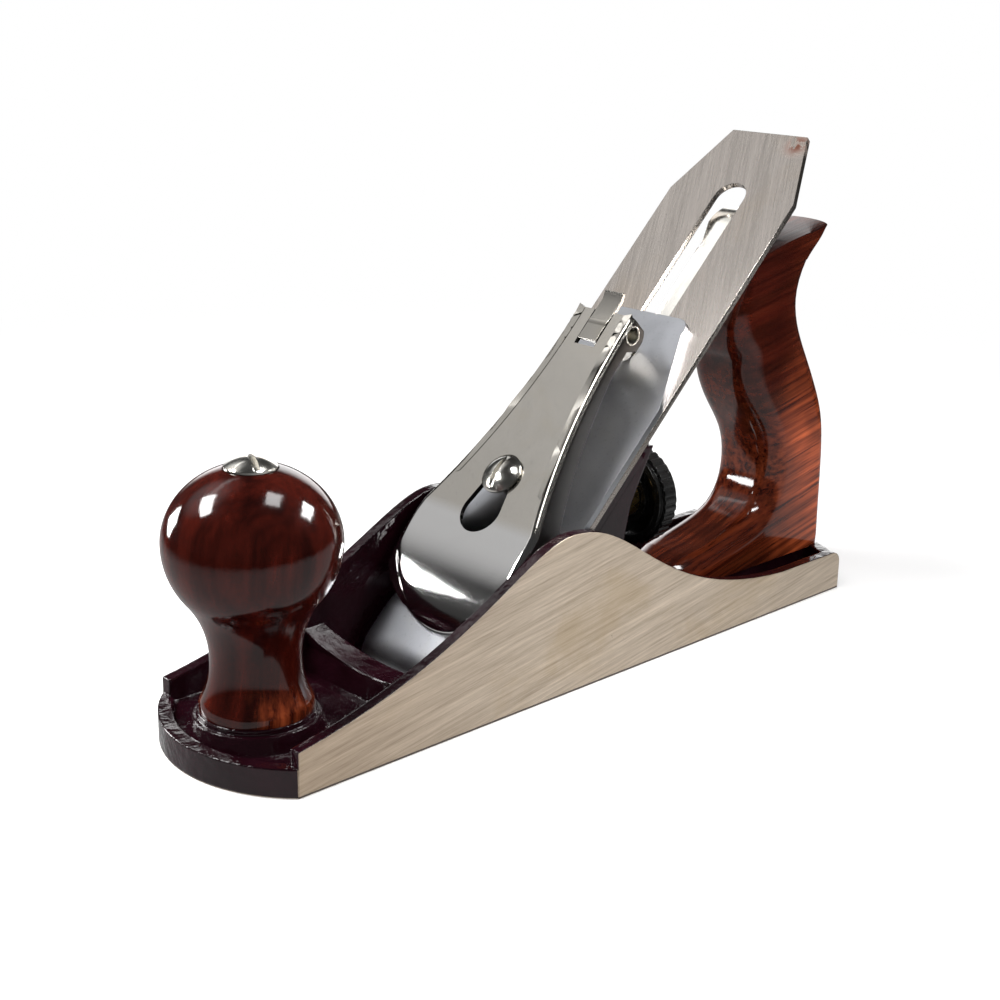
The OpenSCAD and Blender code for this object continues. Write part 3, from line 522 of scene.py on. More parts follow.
def wood_finish(name, tints, lean, centre, orange):
    """Lacquered hardwood. The grain follows lean, and orange says where painted light makes the wood
    lighter and orange.
    """
    material, tree, shader, place = new_material(name, tints.wood_dark)
    turned = stretch(tree, place, (1.0, 1.0, 1.0), lean, centre)
    wood = use(tree, "Wood figure", Vector=turned, Scale=1.0)
    body = blend(tree, wood["Figure"], (*tints.wood_dark, 1.0), (*tints.wood_red, 1.0))
    body = blend(tree, times(tree, wood["Streaks"], 0.45), body,
        shade(tints.wood_dark, 0.35))
    # Painted light: where the piece is lit, the wood is painted lighter and orange
    light = orange(tree, place, wood)
    pale = blend(tree, wood["Streaks"], (*tints.wood_lit_orange, 1.0), (*tints.wood_red, 1.0))
    body = blend(tree, light, body, pale)
    body = blend(tree, times(tree, wood["Pores"], 0.5), body, (0.012, 0.002, 0.001, 1.0))
    smudge = use(tree, "Smudges", Vector=place, Scale=35.0)
    fill(tree, shader, body, ramp(tree, smudge["Haze"], 0.0, 1.0, 0.05, 0.13),
        bump(tree, wood["Streaks"], 0.03, 0.0002))
    return material


def wheel_finish(tints):
    """Black wheel: glossy, with random patches of dust that are lighter and rougher."""
    material, tree, shader, place = new_material("Black wheel", tints.wheel)
    smudge = use(tree, "Smudges", Vector=place, Scale=70.0)
    dust = times(tree, smudge["Haze"], 0.3)
    black = blend(tree, dust, (*tints.wheel, 1.0), (0.03, 0.028, 0.027, 1.0))
    fine = noise(tree, place, 900.0, 3.0, 0.6)
    rounded = add(tree, "ShaderNodeBevel", {"Radius": 0.0004}, samples=6).outputs[0]
    fill(tree, shader, black, ramp(tree, smudge["Haze"], 0.0, 1.0, 0.16, 0.34),
        bump(tree, fine, 0.08, 0.0002, rounded))
    return material


# Sizes and colours that a user may change

def tint(name, description, default):
    return bpy.props.FloatVectorProperty(name=name, subtype="COLOR", size=3,
        description=description, default=default)


class PlaneSizes(bpy.types.PropertyGroup):
    """Sizes of the shapes that the visible pieces add to the solids"""
    iron_edge: bpy.props.FloatProperty(name="Iron edges", unit="LENGTH", default=0.00018,
        description="Rounding of the edges of the cutting iron and the cap iron")
    sheet: bpy.props.FloatProperty(name="Lever cap sheet", unit="LENGTH", default=0.0016,
        description="Thickness of the pressed sheet of the lever cap")
    roll: bpy.props.FloatProperty(name="Lever cap bend", unit="LENGTH", default=0.0021,
        description="Outer radius of the bend between the lever cap's plate and its flanges")
    grip: bpy.props.FloatProperty(name="Handle rounding", default=1.0,
        description="Rounding of the handle's edges as a share of the shape in the photograph")
    turned_edge: bpy.props.FloatProperty(name="Turned edges", unit="LENGTH", default=0.00025,
        description="Rounding of the edges of screws, nuts and pins")


class PlaneTints(bpy.types.PropertyGroup):
    """Colours of the finishes"""
    enamel: tint("Enamel", "Enamel where it lies thick", (0.005, 0.0008, 0.0018))
    enamel_thin: tint("Thin enamel", "Enamel where it lies thin", (0.013, 0.0025, 0.005))
    ground_light: tint("Ground iron, light", "Light lines of the ground cheeks", (0.80, 0.68, 0.55))
    ground_dark: tint("Ground iron, dark", "Dark lines of the ground cheeks", (0.33, 0.26, 0.19))
    blade: tint("Blade steel", "Brushed steel of the cutting iron", (0.56, 0.51, 0.47))
    cap_iron: tint("Cap iron", "Satin steel of the cap iron", (0.50, 0.51, 0.54))
    plate: tint("Lever cap plate", "Plating of the lever cap", (0.60, 0.57, 0.52))
    bright: tint("Bright screws", "Polished heads of nuts and screws", (0.80, 0.78, 0.73))
    steel: tint("Plain steel", "Screws, washers and pins", (0.50, 0.49, 0.48))
    brass: tint("Brass", "Hub of the depth wheel", (0.56, 0.38, 0.14))
    wheel: tint("Wheel", "Black of the depth wheel", (0.006, 0.006, 0.006))
    wood_dark: tint("Dark wood", "Dark figure of the hardwood", (0.009, 0.001, 0.0007))
    wood_red: tint("Red wood", "Red figure of the hardwood", (0.045, 0.005, 0.0026))
    # Orange of the painted light on the handle's lit back edge and the knob's foot
    wood_lit_orange: tint("Orange wood", "Lighter wood at the back of the handle", (0.55, 0.11, 0.035))


class PlaneStage(bpy.types.PropertyGroup):
    """Floor, lamps and camera"""
    floor: tint("Floor", "Colour of the floor", (0.86, 0.86, 0.86))
    sky: bpy.props.FloatProperty(name="Room light", description="Even light of the room", default=0.62)
    lamps: bpy.props.FloatProperty(name="Lamps", description="Power of the lamps", default=1.0)
    lens: bpy.props.FloatProperty(name="Lens", description="Focal length of the camera in millimetres",
        default=59.25)
    distance: bpy.props.FloatProperty(name="Distance", unit="LENGTH", default=0.48426,
        description="Distance of the camera from its target")
    azimuth: bpy.props.FloatProperty(name="Azimuth", subtype="ANGLE", default=math.radians(136.15),
        description="Direction of the camera round the object")
    elevation: bpy.props.FloatProperty(name="Elevation", subtype="ANGLE", default=math.radians(17.93),
        description="Height of the camera's direction over the floor")
    roll: bpy.props.FloatProperty(name="Roll", subtype="ANGLE", default=math.radians(1.2),
        description="Turn of the camera about its own axis")


# Operators

class PlaneStep:
    """What most operators share: they make their pieces from the sizes and the colours."""

    def execute(self, context):
        self.make(context.scene.plane_sizes, context.scene.plane_tints)
        return {"FINISHED"}


class PLANE_OT_effects(PlaneStep, bpy.types.Operator):
    """Builds the node groups that the finishes share"""
    bl_idname = "plane.effects"
    bl_label = "Shared effects"

    def make(self, sizes, tints):
        build_groups()


class PLANE_OT_casting(PlaneStep, bpy.types.Operator):
    """Dresses the body casting and the frog"""
    bl_idname = "plane.casting"
    bl_label = "Castings"

    def make(self, sizes, tints):
        dress_node("plane_body", casting_finish("Enamelled and ground iron", tints, True))
        dress_node("frog", casting_finish("Enamelled iron", tints, False))


class PLANE_OT_irons(PlaneStep, bpy.types.Operator):
    """Dresses the cutting iron, the cap iron and the screw that clamps them"""
    bl_idname = "plane.irons"
    bl_label = "Cutting iron and cap iron"

    def make(self, sizes, tints):
        blade = copy_of("cutting_iron", "blade_brushed")
        soften(blade, sizes.iron_edge)
        lay_lines(blade, 22.0)
        finish(blade, ["cutting_iron"], blade_finish(tints))
        dress_copy("cap_iron", "cap_iron_satin",
            plated_finish("Satin cap steel", tints.cap_iron, 0.3, 0.5), sizes.iron_edge)
        dress_copy("cap_iron_screw", "cap_iron_screw_turned",
            turned_finish("Cap iron screw steel", tints.steel, 0.22), sizes.turned_edge)


# Outline values of the lever cap in millimetres, along the slope and off the bed
NOSE_D, NOSE_R = 14.97, 27.0
CREASE_D, CAP_TOP_D = 44.97, 124.0
CAP_FACE = [(14.47, 7.82)] + cubic([(14.47, 7.82), (19.97, 15.22), (30.97, 17.8), (44.97, 18.4)], 14) \
    + [(124.0, 20.6)]
CAP_RIM = [(14.47, 6.22), (44.97, 6.8), (66.97, 10.0), (106.97, 15.1), (124.0, 15.1)]
CAP_HALF, CAP_TOP_HALF, CAP_STRAIGHT_D = 25.0, 11.7, 48.0
PIN_D, PIN_N, PIN_HOLE_R, EAR_R = 120.0, 16.6, 3.02, 5.0
KEYHOLE_D, KEYHOLE_R, SLOT_D, SLOT_R = 51.5, 7.2, 64.0, 4.6
NOTCH_D, NOTCH_LEN, NOTCH_W = 124.4, 26.0, 8.2
# Rounding of the hollow pin's ends, in metres
PIN_EDGE = 0.00012
# Share of the full bend at a place on the slope
CAP_ROLL = [(15.0, 0.3), (20.0, 0.55), (27.0, 1.0)]


def cap_half(d):
    """Half width of the lever cap at a place on the slope."""
    t = max(0.0, min(1.0, (CAP_TOP_D - d) / (CAP_TOP_D - CAP_STRAIGHT_D)))
    return CAP_TOP_HALF + (CAP_HALF - CAP_TOP_HALF) * t ** 2.2


def cap_rim(d):
    """Lower edge of the lever cap's flanges, with the ears that hold the pin."""
    low = along(CAP_RIM, d)
    if abs(d - PIN_D) < EAR_R:
        low = min(low, PIN_N - math.sqrt(EAR_R ** 2 - (d - PIN_D) ** 2))
    return low


class PLANE_OT_lever_cap(PlaneStep, bpy.types.Operator):
    """Makes the lever cap as one pressed sheet with rolled edges, flanges, keyhole and notch"""
    bl_idname = "plane.lever_cap"
    bl_label = "Lever cap"

    def make(self, sizes, tints):
        # The rows are closer together round the ears
        ears_d = CAP_TOP_D - 12.0
        rows = [CREASE_D + (ears_d - CREASE_D) * i / 16 for i in range(1, 17)]
        rows += [ears_d + 0.75 * i for i in range(1, 17)]
        front, across = 14, 20
        count = front + len(rows)
        free()
        bpy.ops.mesh.primitive_grid_add(x_subdivisions=across, y_subdivisions=count, size=2)
        cap = bpy.context.object
        cap.name = "lever_cap_pressed"
        table = {}
        for vertex in cap.data.vertices:
            v = vertex.co.x
            row = round((vertex.co.y + 1) / 2 * count)
            if row <= front:
                y = v * CAP_HALF
                start = NOSE_D + NOSE_R - math.sqrt(NOSE_R ** 2 - y * y)
                s = (row / front) ** 1.3
                d = start + (CREASE_D - start) * s
            else:
                d = rows[row - front - 1]
                y = v * cap_half(d)
            table[vertex.index] = (d, y)
            vertex.co = on_bed(d, y, along(CAP_FACE, d))
        top_edge = max(d for d, _ in table.values()) - 0.001
        # Clears the selection, and what is selected below counts as edges
        enter(cap, "EDGE")
        leave()
        folded = []
        for edge in border_edges(cap.data):
            a, b = (table[i][0] for i in edge.vertices)
            edge.select = not (a > top_edge and b > top_edge)
            if edge.select:
                folded.append(tuple(edge.vertices))
        bpy.ops.object.mode_set(mode="EDIT")
        bpy.ops.mesh.extrude_region_move()
        leave()
        # The new vertices are the lower edge of the flanges
        old = len(table)
        partner = {}
        for edge in cap.data.edges:
            a, b = sorted(edge.vertices)
            if a < old <= b:
                partner[b] = a
        for low, high in partner.items():
            d, y = table[high]
            cap.data.vertices[low].co = on_bed(d, y, cap_rim(d))
        weights = cap.data.attributes.new("bevel_weight_edge", "FLOAT", "EDGE")
        fold = {tuple(sorted(pair)) for pair in folded}
        for edge in cap.data.edges:
            pair = tuple(sorted(edge.vertices))
            if pair in fold:
                d = sum(table[i][0] for i in pair) / 2
                weights.data[edge.index].value = along(CAP_ROLL, d)
        enter(cap)
        bpy.ops.mesh.select_all(action="SELECT")
        bpy.ops.mesh.normals_make_consistent(inside=False)
        leave()
        if self.facing_down(cap.data):
            cap.data.flip_normals()
        apply_modifier(cap, "BEVEL", width=sizes.roll, segments=4, limit_method="WEIGHT",
            use_clamp_overlap=False, loop_slide=True)
        # The sheet is thinner where its bend is tight, so that its inside doesn't fold over
        thick = cap.vertex_groups.new(name="thick")
        for vertex in cap.data.vertices:
            bend = along(CAP_ROLL, up_bed(vertex.co)) * sizes.roll * 0.85
            thick.add([vertex.index], min(1.0, bend / sizes.sheet), "REPLACE")
        apply_modifier(cap, "SOLIDIFY", thickness=sizes.sheet, offset=-1.0, use_even_offset=False,
            vertex_group="thick")
        cut(cap, self.cutters())
        finish(cap, ["lever_cap"],
            plated_finish("Plated lever cap", tints.plate, 0.11, 0.3, polished_below=47.0), angle=30)

    @staticmethod
    def facing_down(mesh):
        """True if the plate's face looks at the bed."""
        largest = max(mesh.polygons, key=lambda face: face.area * abs(face.normal.z + face.normal.x))
        return largest.normal.x + largest.normal.z < 0

    def cutters(self):
        """The keyhole, the notch and the hole of the pin as cutting bodies."""
        turn = (0.0, math.radians(45.0), 0.0)
        free()
        bpy.ops.mesh.primitive_cylinder_add(vertices=64, radius=KEYHOLE_R * MM, depth=12 * MM,
            location=on_bed(KEYHOLE_D, 0.0, 18.6), rotation=turn)
        made = [bpy.context.object]
        bpy.ops.mesh.primitive_cylinder_add(vertices=48, radius=SLOT_R * MM, depth=12 * MM,
            location=on_bed(SLOT_D, 0.0, 18.9), rotation=turn)
        made.append(bpy.context.object)
        bpy.ops.mesh.primitive_cube_add(size=1, location=on_bed(58.9, 0.0, 18.8), rotation=turn)
        taper = bpy.context.object
        taper.scale = (12.0 * MM, 1.0 * MM, 12.0 * MM)
        take(taper)
        bpy.ops.object.transform_apply(location=True, rotation=True, scale=True)
        for vertex in taper.data.vertices:
            side = 1.0 if vertex.co.y > 0 else -1.0
            vertex.co.y = side * (7.05 if up_bed(vertex.co) < 58.0 else 4.5) * MM
        bpy.ops.mesh.primitive_cube_add(size=1, location=on_bed(NOTCH_D, 0.0, 20.0), rotation=turn)
        notch = bpy.context.object
        notch.scale = (NOTCH_LEN * MM, NOTCH_W * MM, 8.0 * MM)
        bpy.ops.mesh.primitive_cylinder_add(vertices=48, radius=PIN_HOLE_R * MM, depth=40 * MM,
            location=on_bed(PIN_D, 0.0, PIN_N), rotation=(math.radians(90.0), 0.0, 0.0))
        return made + [taper, notch, bpy.context.object]


class PLANE_OT_cam(PlaneStep, bpy.types.Operator):
    """Dresses the cam lever and its hollow pin"""
    bl_idname = "plane.cam"
    bl_label = "Cam lever"

    def make(self, sizes, tints):
        # The cam's plating is the lever cap's darkened to 62 %: painted shade for the dark its tab reflects
        dress_copy("cam_lever", "cam_lever_pressed",
            plated_finish("Plated cam", shade(tints.plate, 0.62)[:3], 0.2, 0.4), sizes.turned_edge, 3)
        dress_copy("cam_pin", "cam_pin_rolled",
            turned_finish("Rolled pin steel", tints.bright, 0.14), PIN_EDGE)


class PLANE_OT_adjusters(PlaneStep, bpy.types.Operator):
    """Dresses the depth wheel with its hub and stud, the yoke and the lateral lever"""
    bl_idname = "plane.adjusters"
    bl_label = "Adjusters"

    def make(self, sizes, tints):
        dress_node("depth_wheel", wheel_finish(tints))
        steel = turned_finish("Turned steel", tints.steel, 0.26)
        dark = turned_finish("Dark forged steel", (0.16, 0.15, 0.145), 0.4, 0.5)
        bright = plated_finish("Bright lateral lever", tints.bright, 0.16, 0.3)
        brass = turned_finish("Turned brass", tints.brass, 0.22)
        for node, name, slot, material in (
                ("depth_hub", "depth_hub_turned", "brass", brass),
                ("depth_stud", "depth_stud_turned", "steel", steel),
                ("yoke", "yoke_forged", "dark_steel", dark),
                ("yoke_pin", "yoke_pin_turned", "steel", steel),
                ("lateral_lever", "lateral_lever_pressed", "bright_steel", bright),
                ("lateral_rivet", "lateral_rivet_turned", "steel", steel),
                ("lateral_disc", "lateral_disc_turned", "steel", steel)):
            dress_copy(node, name, material, sizes.turned_edge)


class PLANE_OT_fasteners(PlaneStep, bpy.types.Operator):
    """Dresses the frog's screws and washers, the lever cap screw and the rods and nuts"""
    bl_idname = "plane.fasteners"
    bl_label = "Screws, rods and nuts"

    def make(self, sizes, tints):
        steel = turned_finish("Screw steel", tints.steel, 0.26)
        bright = turned_finish("Polished nickel", tints.bright, 0.12, 0.35)
        for node, name, slot, material in (
                ("frog_screws", "frog_screws_turned", "steel", steel),
                ("frog_washers", "frog_washers_turned", "steel", steel),
                ("lever_cap_screw", "lever_cap_screw_domed", "bright_steel", bright),
                ("knob_stud", "knob_stud_turned", "steel", steel),
                ("knob_nut", "knob_nut_domed", "bright_steel", bright),
                ("tote_rod", "tote_rod_turned", "steel", steel),
                ("tote_nut", "tote_nut_turned", "bright_steel", bright)):
            dress_copy(node, name, material, sizes.turned_edge)


def knob_painted_glow(tree, place, wood):
    """Painted glow on the knob: lighter, orange wood a little near its foot, broken up by the wood's
    blotches.
    """
    xyz = split(tree, place)
    low = ramp(tree, xyz[2], 0.014, 0.024, 0.5, 0.0, smooth=True)
    return times(tree, low, wood["Blotches"])


def tote_painted_light(tree, place, wood):
    """Painted light on the handle: lighter, orange wood along its lit back edge, in the lower half of the
    grip, broken up by the wood's blotches.
    """
    xyz = split(tree, place)
    back = ramp(tree, xyz[0], -0.114, -0.094, 1.0, 0.15, smooth=True)
    high = ramp(tree, xyz[2], 0.055, 0.085, 1.0, 0.25, smooth=True)
    light = times(tree, back, high)
    return times(tree, light, ramp(tree, wood["Blotches"], 0.0, 1.0, 0.55, 1.0))


class PLANE_OT_knob(PlaneStep, bpy.types.Operator):
    """Dresses the front knob"""
    bl_idname = "plane.knob"
    bl_label = "Front knob"

    def make(self, sizes, tints):
        knob = copy_of("front_knob", "knob_turned")
        finish(knob, ["front_knob"], wood_finish("Lacquered knob wood", tints,
            (0.0, math.radians(6.0), 0.0), (-0.1046, 0.0, 0.0), knob_painted_glow))


# Places of the handle in millimetres: heel end, toe end, foot, tip of the horn and half thickness
TOTE_BACK, TOTE_TOE, TOTE_FOOT, HORN_Z, TOTE_HALF = -128.0, -50.5, 8.52, 121.0, 13.5
ROD_FOOT, ROD_LEAN, ROD_NUT = (-111.5, 8.5), 10.5, 104.0
# Radius, start and end along the rod of the bores for the rod, the nut's head and its neck
BORES = ((3.4, -20.0, 140.0), (6.0, ROD_NUT, ROD_NUT + 40.0), (4.8, ROD_NUT - 16.0, ROD_NUT + 4.0))


def edged(line, table, grip):
    """Rows of the handle's side view, with an edge whose reach over the side face follows the height."""
    rows = []
    for i, (x, z) in enumerate(line):
        before, after = line[max(i - 1, 0)], line[min(i + 1, len(line) - 1)]
        run = Vector((after[0] - before[0], after[1] - before[1])).normalized()
        reach = along(table, z) * grip
        rows.append((x, z, reach * run.y, -reach * run.x, reach))
    return rows


def smooth(t, p, q, r, s):
    """Value at t between q and r, on a smooth curve through p, q, r and s."""
    bend = 2 * p - 5 * q + 4 * r - s + t * (3 * (q - r) + s - p)
    return q + 0.5 * t * (r - p + t * bend)


def joined(rows, count):
    """Rows with count smooth steps from each one to the next."""
    out = []
    for i in range(len(rows) - 1):
        a, b, c, d = (rows[max(0, min(len(rows) - 1, k))] for k in (i - 1, i, i + 1, i + 2))
        for step in range(count):
            t = step / count
            out.append(tuple(smooth(t, *near) for near in zip(a, b, c, d)))
    return out + [rows[-1]]


def tote_rows(grip):
    """Side view of the handle, from its foot up the back to the horn and down the front. A row holds
    x, z, the inset of the side face in x and z, and the reach of the rounded edge."""
    xb, x0, half = TOTE_BACK, TOTE_TOE, TOTE_HALF
    back = [(xb + 0.2, TOTE_FOOT + 4)]
    back += cubic([back[0], (xb + 0.1, 49.5), (xb - 1.6, 52.9), (xb + 7.6, 70.5)], 16)
    back += cubic([back[-1], (xb + 16.3, 86.3), (xb + 25.6, 95.4), (xb + 16.8, 109.6)], 14)
    horn = []
    for x, z in cubic([back[-1], (xb + 12.6, 115.6), (xb + 8.9, 116.2), (xb + 6.3, HORN_Z + 1.4)], 10):
        horn.append((x, z, along([(109.0, 6.3), (HORN_Z, 5.2)], z), -1.0 if z > HORN_Z else 0.0,
            along([(109.0, 9.5), (118.0, half - 0.1)], z)))
    top = [(xb + x, HORN_Z + z, 0.0, -0.5, 0.5) for x, z in ((19.5, -1.0), (29.5, -2.9), (40.0, -5.6),
        (44.5, -7.0))]
    front = cubic([(xb + 44.5, HORN_Z - 7), (xb + 52, HORN_Z - 14), (xb + 57, 88.0), (xb + 47.3, 79.9)], 14)
    front += cubic([front[-1], (xb + 45.8, 60.6), (xb + 29.8, 56.1), (xb + 29.9, 40.2)], 16)
    front += cubic([front[-1], (xb + 30.0, 25.5), (xb + 40.9, 23.5), (xb + 59.3, 18.9)], 14)
    toe = [(x0 - 11.5, 18.0, -2.8, -5.6, 8.0), (x0 - 6.5, 17.0, -7.6, -5.3, 10.5),
        (x0 - 2.5, 15.9, -11.4, -5.0, half - 0.7), (x0 - 0.1, 13.5, -13.6, -3.6, half - 0.1),
        (x0 - 0.4, TOTE_FOOT, 0.2 - half, 0.0, half - 0.1)]
    rows = [(xb + 0.6, TOTE_FOOT, 3.5, 0.0, 3.5)]
    rows += edged(back, [(12, 3.5), (20, 4), (55, 6), (70, 7), (100, 7), (112, 6.4)], grip)
    rows += horn + top
    rows += edged(front, [(17, 6), (27, 8), (80, 8), (92, 6.5), (105, 3), (113, 0.8)], grip)
    return rows + joined(toe, 3)


class PLANE_OT_handle(PlaneStep, bpy.types.Operator):
    """Makes the handle ring by ring across its width, with a crisp horn and a round grip, and bores it"""
    bl_idname = "plane.handle"
    bl_label = "Handle"

    def make(self, sizes, tints):
        rows = tote_rows(sizes.grip)
        turns = [0, 12, 24, 36, 48, 60, 70, 80, 90]
        rings = [(-1, a) for a in reversed(turns)] + [(1, a) for a in turns]
        free()
        bpy.ops.mesh.primitive_circle_add(vertices=len(rows), radius=0.05, fill_type="NGON")
        tote = bpy.context.object
        tote.name = "handle_shaped"
        row_of = {i: i for i in range(len(rows))}
        self.place(tote, row_of, rows, rings[0])
        for ring in rings[1:]:
            enter(tote)
            leave()
            first = len(tote.data.vertices)
            for vertex in tote.data.vertices:
                vertex.select = vertex.index >= first - len(rows)
            bpy.ops.object.mode_set(mode="EDIT")
            bpy.ops.mesh.select_mode(type="EDGE")
            bpy.ops.mesh.extrude_region_move()
            leave()
            fresh = {}
            for edge in tote.data.edges:
                low, high = sorted(edge.vertices)
                if low < first <= high:
                    fresh[high] = row_of[low]
            row_of.update(fresh)
            self.place(tote, fresh, rows, ring)
        enter(tote)
        bpy.ops.mesh.select_all(action="SELECT")
        bpy.ops.mesh.remove_doubles(threshold=0.00001)
        bpy.ops.mesh.normals_make_consistent(inside=False)
        leave()
        lean = math.radians(ROD_LEAN)
        axis = Vector((math.sin(lean), 0.0, math.cos(lean)))
        foot = Vector((ROD_FOOT[0], 0.0, ROD_FOOT[1]))
        for radius, low, high in BORES:
            free()
            bpy.ops.mesh.primitive_cylinder_add(vertices=48, radius=radius * MM, depth=(high - low) * MM,
                location=(foot + axis * (low + high) / 2) * MM, rotation=(0.0, lean, 0.0))
            cut(tote, [bpy.context.object])
        finish(tote, ["tote"], wood_finish("Lacquered handle wood", tints,
            (0.0, math.radians(78.0), 0.0), (0.1, 0.0, 0.0), tote_painted_light), angle=50)

    @staticmethod
    def place(piece, row_of, rows, ring):
        """Sets a ring of vertices, each with its row, to its place across the handle."""
        side, turn = ring
        c, s = 1 - math.cos(math.radians(turn)), math.sin(math.radians(turn))
        for index, row in row_of.items():
            x, z, in_x, in_z, reach = rows[row]
            piece.data.vertices[index].co = Vector((x + in_x * c,
                side * (TOTE_HALF - reach + reach * s), z + in_z * c)) * MM


# Direction, inner and outer edge and strength of the soft panels that polished pieces see
SOFT_PANELS = (((0.258, -0.68, 0.686), 0.985, 0.9, 0.5), ((0.07, -0.6, 0.797), 0.99, 0.93, 0.15))
STRIP_WAY, STRIP_Z = (0.15, -0.63, 0.762), 0.768
# Middle of the knob's ball, and the windows' distance from it
KNOB_BALL, WINDOW_FAR = (0.1046, 0.0, 0.0582), 0.2
# Each window's place and size as its highlight on the ball, in ball radii, and its brightness
WINDOWS = (
    ("window_a", -0.79, 0.25, 0.09, 0.19, 90.0),
    ("window_b", -0.42, 0.47, 0.11, 0.2, 85.0),
    ("window_c", 0.23, 0.57, 0.14, 0.14, 32.0),
    ("window_d", 0.58, 0.44, 0.09, 0.17, 90.0),
)


def area_lamp(name, target, direction, distance, width, height, power):
    """Soft lamp that faces a target."""
    data = bpy.data.lights.new(name, "AREA")
    data.shape = "RECTANGLE"
    data.size = width
    data.size_y = height
    data.energy = power
    lamp = bpy.data.objects.new(name, data)
    bpy.context.scene.collection.objects.link(lamp)
    way = Vector(direction).normalized()
    lamp.location = Vector(target) + way * distance
    lamp.rotation_mode = "QUATERNION"
    lamp.rotation_quaternion = way.to_track_quat("Z", "Y")
    lamp.visible_camera = False
    return lamp


class PLANE_OT_stage(bpy.types.Operator):
    """Makes the floor, the room light, the lamps and the camera"""
    bl_idname = "plane.stage"
    bl_label = "Stage"

    def execute(self, context):
        stage = context.scene.plane_stage
        back, across, upward = self.axes(stage)
        self.make_camera(context, stage, back, across, upward)
        self.make_floor(stage)
        self.make_room(context, stage, back)
        self.make_lamps(stage, back, across, upward)
        context.scene.view_settings.view_transform = "Standard"
        return {"FINISHED"}

    @staticmethod
    def axes(stage):
        """Directions of the camera: backwards, right and up."""
        a, e, t = stage.azimuth, stage.elevation, stage.roll
        back = Vector((math.sin(a) * math.cos(e), -math.cos(a) * math.cos(e), math.sin(e)))
        right = Vector((0.0, 0.0, 1.0)).cross(back).normalized()
        up = back.cross(right)
        across = right * math.cos(t) + up * math.sin(t)
        upward = up * math.cos(t) - right * math.sin(t)
        return back, across, upward

    @staticmethod
    def make_camera(context, stage, back, across, upward):
        data = bpy.data.cameras.new("Camera")
        data.lens = stage.lens
        data.sensor_width = 36.0
        data.clip_start = 0.01
        camera = bpy.data.objects.new("Camera", data)
        context.scene.collection.objects.link(camera)
        placed = Matrix((across, upward, back)).transposed().to_4x4()
        placed.translation = Vector((0.01655, 0.0, 0.05109)) + back * stage.distance
        camera.matrix_world = placed
        context.scene.camera = camera

    @staticmethod
    def make_floor(stage):
        free()
        bpy.ops.mesh.primitive_grid_add(x_subdivisions=8, y_subdivisions=8, size=6,
            location=(0.0, 0.0, -0.0003))
        floor = bpy.context.object
        floor.name = "floor"
        take(floor)
        bpy.ops.object.transform_apply(location=True, rotation=True, scale=True)
        material = bpy.data.materials.new("Pale floor")
        material.use_nodes = True
        tree = material.node_tree
        tree.nodes.remove(tree.nodes["Principled BSDF"])
        place = tree.nodes.new("ShaderNodeTexCoord").outputs["Object"]
        far = measure(tree, "LENGTH", place)
        edge = ramp(tree, far, 0.2, 0.42, 1.0, 0.05, smooth=True)
        far = ramp(tree, far, 0.16, 0.55, smooth=True)
        ray = tree.nodes.new("ShaderNodeLightPath").outputs
        plain = add(tree, "ShaderNodeBsdfDiffuse", {"Color": (*stage.floor, 1.0)}).outputs[0]
        near = add(tree, "ShaderNodeAddShader", {0: plain, 1: glow(tree, 0.2)}).outputs[0]
        shown = mix_shaders(tree, far, near, glow(tree, 1.0))
        # Polished pieces see a pale table that ends a little way off
        other = mix_shaders(tree, ray["Is Glossy Ray"], plain, glow(tree, times(tree, edge, 0.5)))
        mixed = mix_shaders(tree, ray["Is Camera Ray"], other, shown)
        tree.links.new(mixed, tree.nodes["Material Output"].inputs["Surface"])
        floor.data.materials.append(material)

    @staticmethod
    def make_room(context, stage, back):
        """Even light. Polished pieces see a dark room with a white backdrop, soft panels and a strip."""
        world = bpy.data.worlds.new("Room")
        context.scene.world = world
        world.use_nodes = True
        tree = world.node_tree
        tree.nodes.remove(tree.nodes["Background"])
        way = tree.nodes.new("ShaderNodeTexCoord").outputs["Generated"]
        xyz = split(tree, way)
        away = Vector((-back.x, -back.y, 0.0)).normalized()
        side = measure(tree, "DOT_PRODUCT", way, away)
        mirror = ramp(tree, side, 0.86, 0.96, 0.04, 2.6, smooth=True)
        for middle, inner, outer, value in SOFT_PANELS:
            near = measure(tree, "DOT_PRODUCT", way, middle)
            mirror = plus(tree, mirror, ramp(tree, near, outer, inner, 0.0, value, smooth=True))
        # Strip light that shows as a bright band across the blade
        level = calc(tree, "ABSOLUTE", calc(tree, "SUBTRACT", xyz[2], STRIP_Z))
        level = ramp(tree, level, 0.01, 0.03, 1.0, 0.0, smooth=True)
        near = measure(tree, "DOT_PRODUCT", way, STRIP_WAY)
        level = times(tree, level, ramp(tree, near, 0.9, 0.97, 0.0, 1.6, smooth=True))
        mirror = plus(tree, mirror, level)
        ray = tree.nodes.new("ShaderNodeLightPath").outputs
        even, shine, white = (glow(tree, strength, "ShaderNodeBackground")
            for strength in (stage.sky, mirror, 1.0))
        glossy = calc(tree, "MAXIMUM", ray["Is Glossy Ray"], ray["Is Transmission Ray"])
        first = mix_shaders(tree, glossy, even, shine)
        second = mix_shaders(tree, ray["Is Camera Ray"], first, white)
        tree.links.new(second, tree.nodes["World Output"].inputs["Surface"])

    @staticmethod
    def make_lamps(stage, back, across, upward):
        """Two broad soft lamps and four small ones that show as windows in polished pieces."""
        power = stage.lamps

        def way(x, y, z):
            return across * x + upward * y + back * z

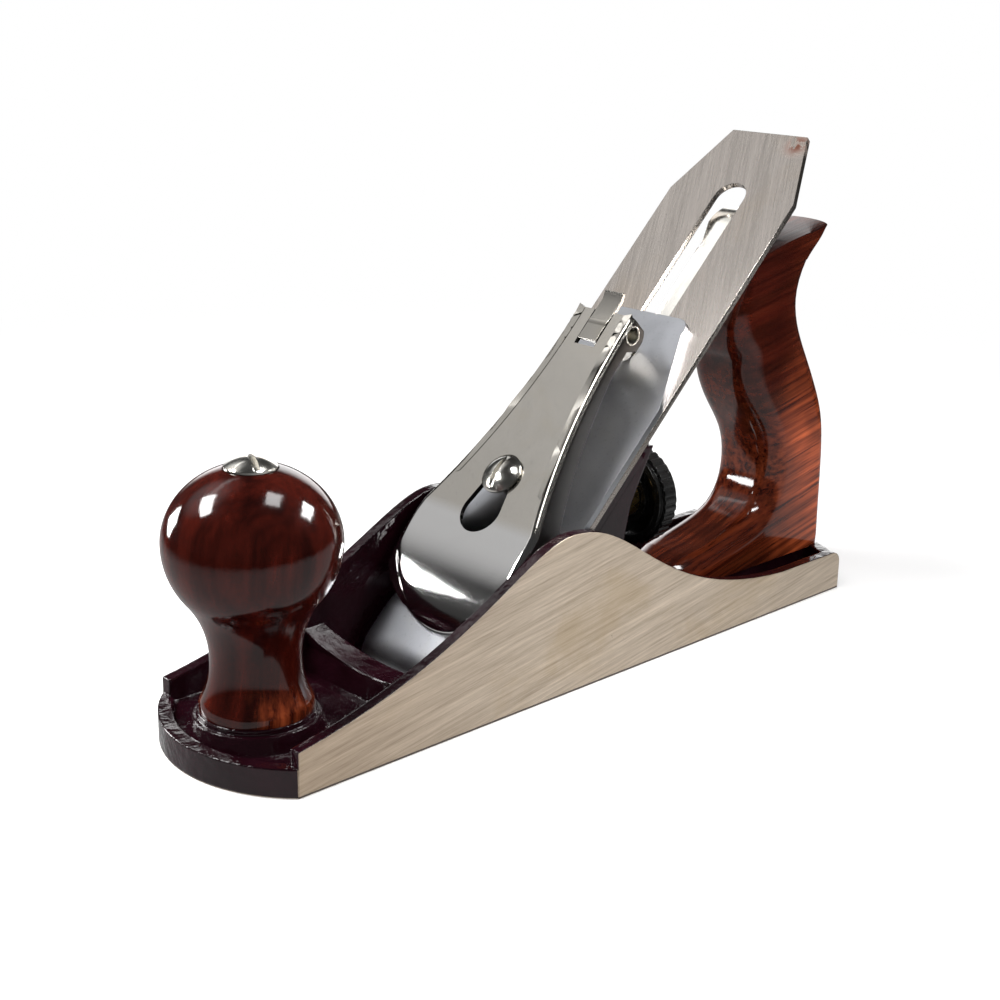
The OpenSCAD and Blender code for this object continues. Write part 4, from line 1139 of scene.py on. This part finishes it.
        centre = (0.0, 0.0, 0.05)
        for lamp in (area_lamp("key", centre, way(-0.5, 0.8, 0.35), 1.1, 0.5, 0.5, 8.0 * power),
                area_lamp("fill", centre, way(0.9, 0.45, 0.3), 1.2, 0.5, 0.4, 4.0 * power)):
            lamp.visible_glossy = False
        for name, x, y, wide, high, shine in WINDOWS:
            z = math.sqrt(1 - x * x - y * y)
            toward = way(2 * z * x, 2 * z * y, 2 * z * z - 1)
            right = way(2 * z - 2 * x * x / z, -2 * x * y / z, -4 * x)
            up = way(-2 * x * y / z, 2 * z - 2 * y * y / z, -4 * y)
            wide, high = wide * right.length * WINDOW_FAR, high * up.length * WINDOW_FAR
            lamp = area_lamp(name, KNOB_BALL, toward, WINDOW_FAR, wide, high,
                shine * wide * high * power)
            up = (up - toward * up.dot(toward)).normalized()
            lamp.rotation_quaternion = Matrix((up.cross(toward), up, toward)).transposed().to_quaternion()


class PLANE_PT_panel(bpy.types.Panel):
    """Lists the pieces and their settings"""
    bl_idname = "PLANE_PT_panel"
    bl_label = "Smoothing plane"
    bl_space_type = "VIEW_3D"
    bl_region_type = "UI"
    bl_category = "Plane"

    def draw(self, context):
        for operator in OPERATORS:
            self.layout.operator(operator.bl_idname)
        for group in (context.scene.plane_sizes, context.scene.plane_tints, context.scene.plane_stage):
            box = self.layout.box()
            for key in group.__annotations__:
                box.prop(group, key)


OPERATORS = (PLANE_OT_effects, PLANE_OT_casting, PLANE_OT_irons, PLANE_OT_lever_cap, PLANE_OT_cam,
    PLANE_OT_adjusters, PLANE_OT_fasteners, PLANE_OT_knob, PLANE_OT_handle, PLANE_OT_stage)
CLASSES = (PlaneSizes, PlaneTints, PlaneStage) + OPERATORS + (PLANE_PT_panel,)


def register():
    for cls in CLASSES:
        bpy.utils.register_class(cls)
    bpy.types.Scene.plane_sizes = bpy.props.PointerProperty(type=PlaneSizes)
    bpy.types.Scene.plane_tints = bpy.props.PointerProperty(type=PlaneTints)
    bpy.types.Scene.plane_stage = bpy.props.PointerProperty(type=PlaneStage)


def unregister():
    del bpy.types.Scene.plane_sizes
    del bpy.types.Scene.plane_tints
    del bpy.types.Scene.plane_stage
    for cls in reversed(CLASSES):
        bpy.utils.unregister_class(cls)


def main():
    register()
    for operator in OPERATORS:
        group, name = operator.bl_idname.split(".")
        getattr(getattr(bpy.ops, group), name)()
    free()


if __name__ == "__main__":
    main()
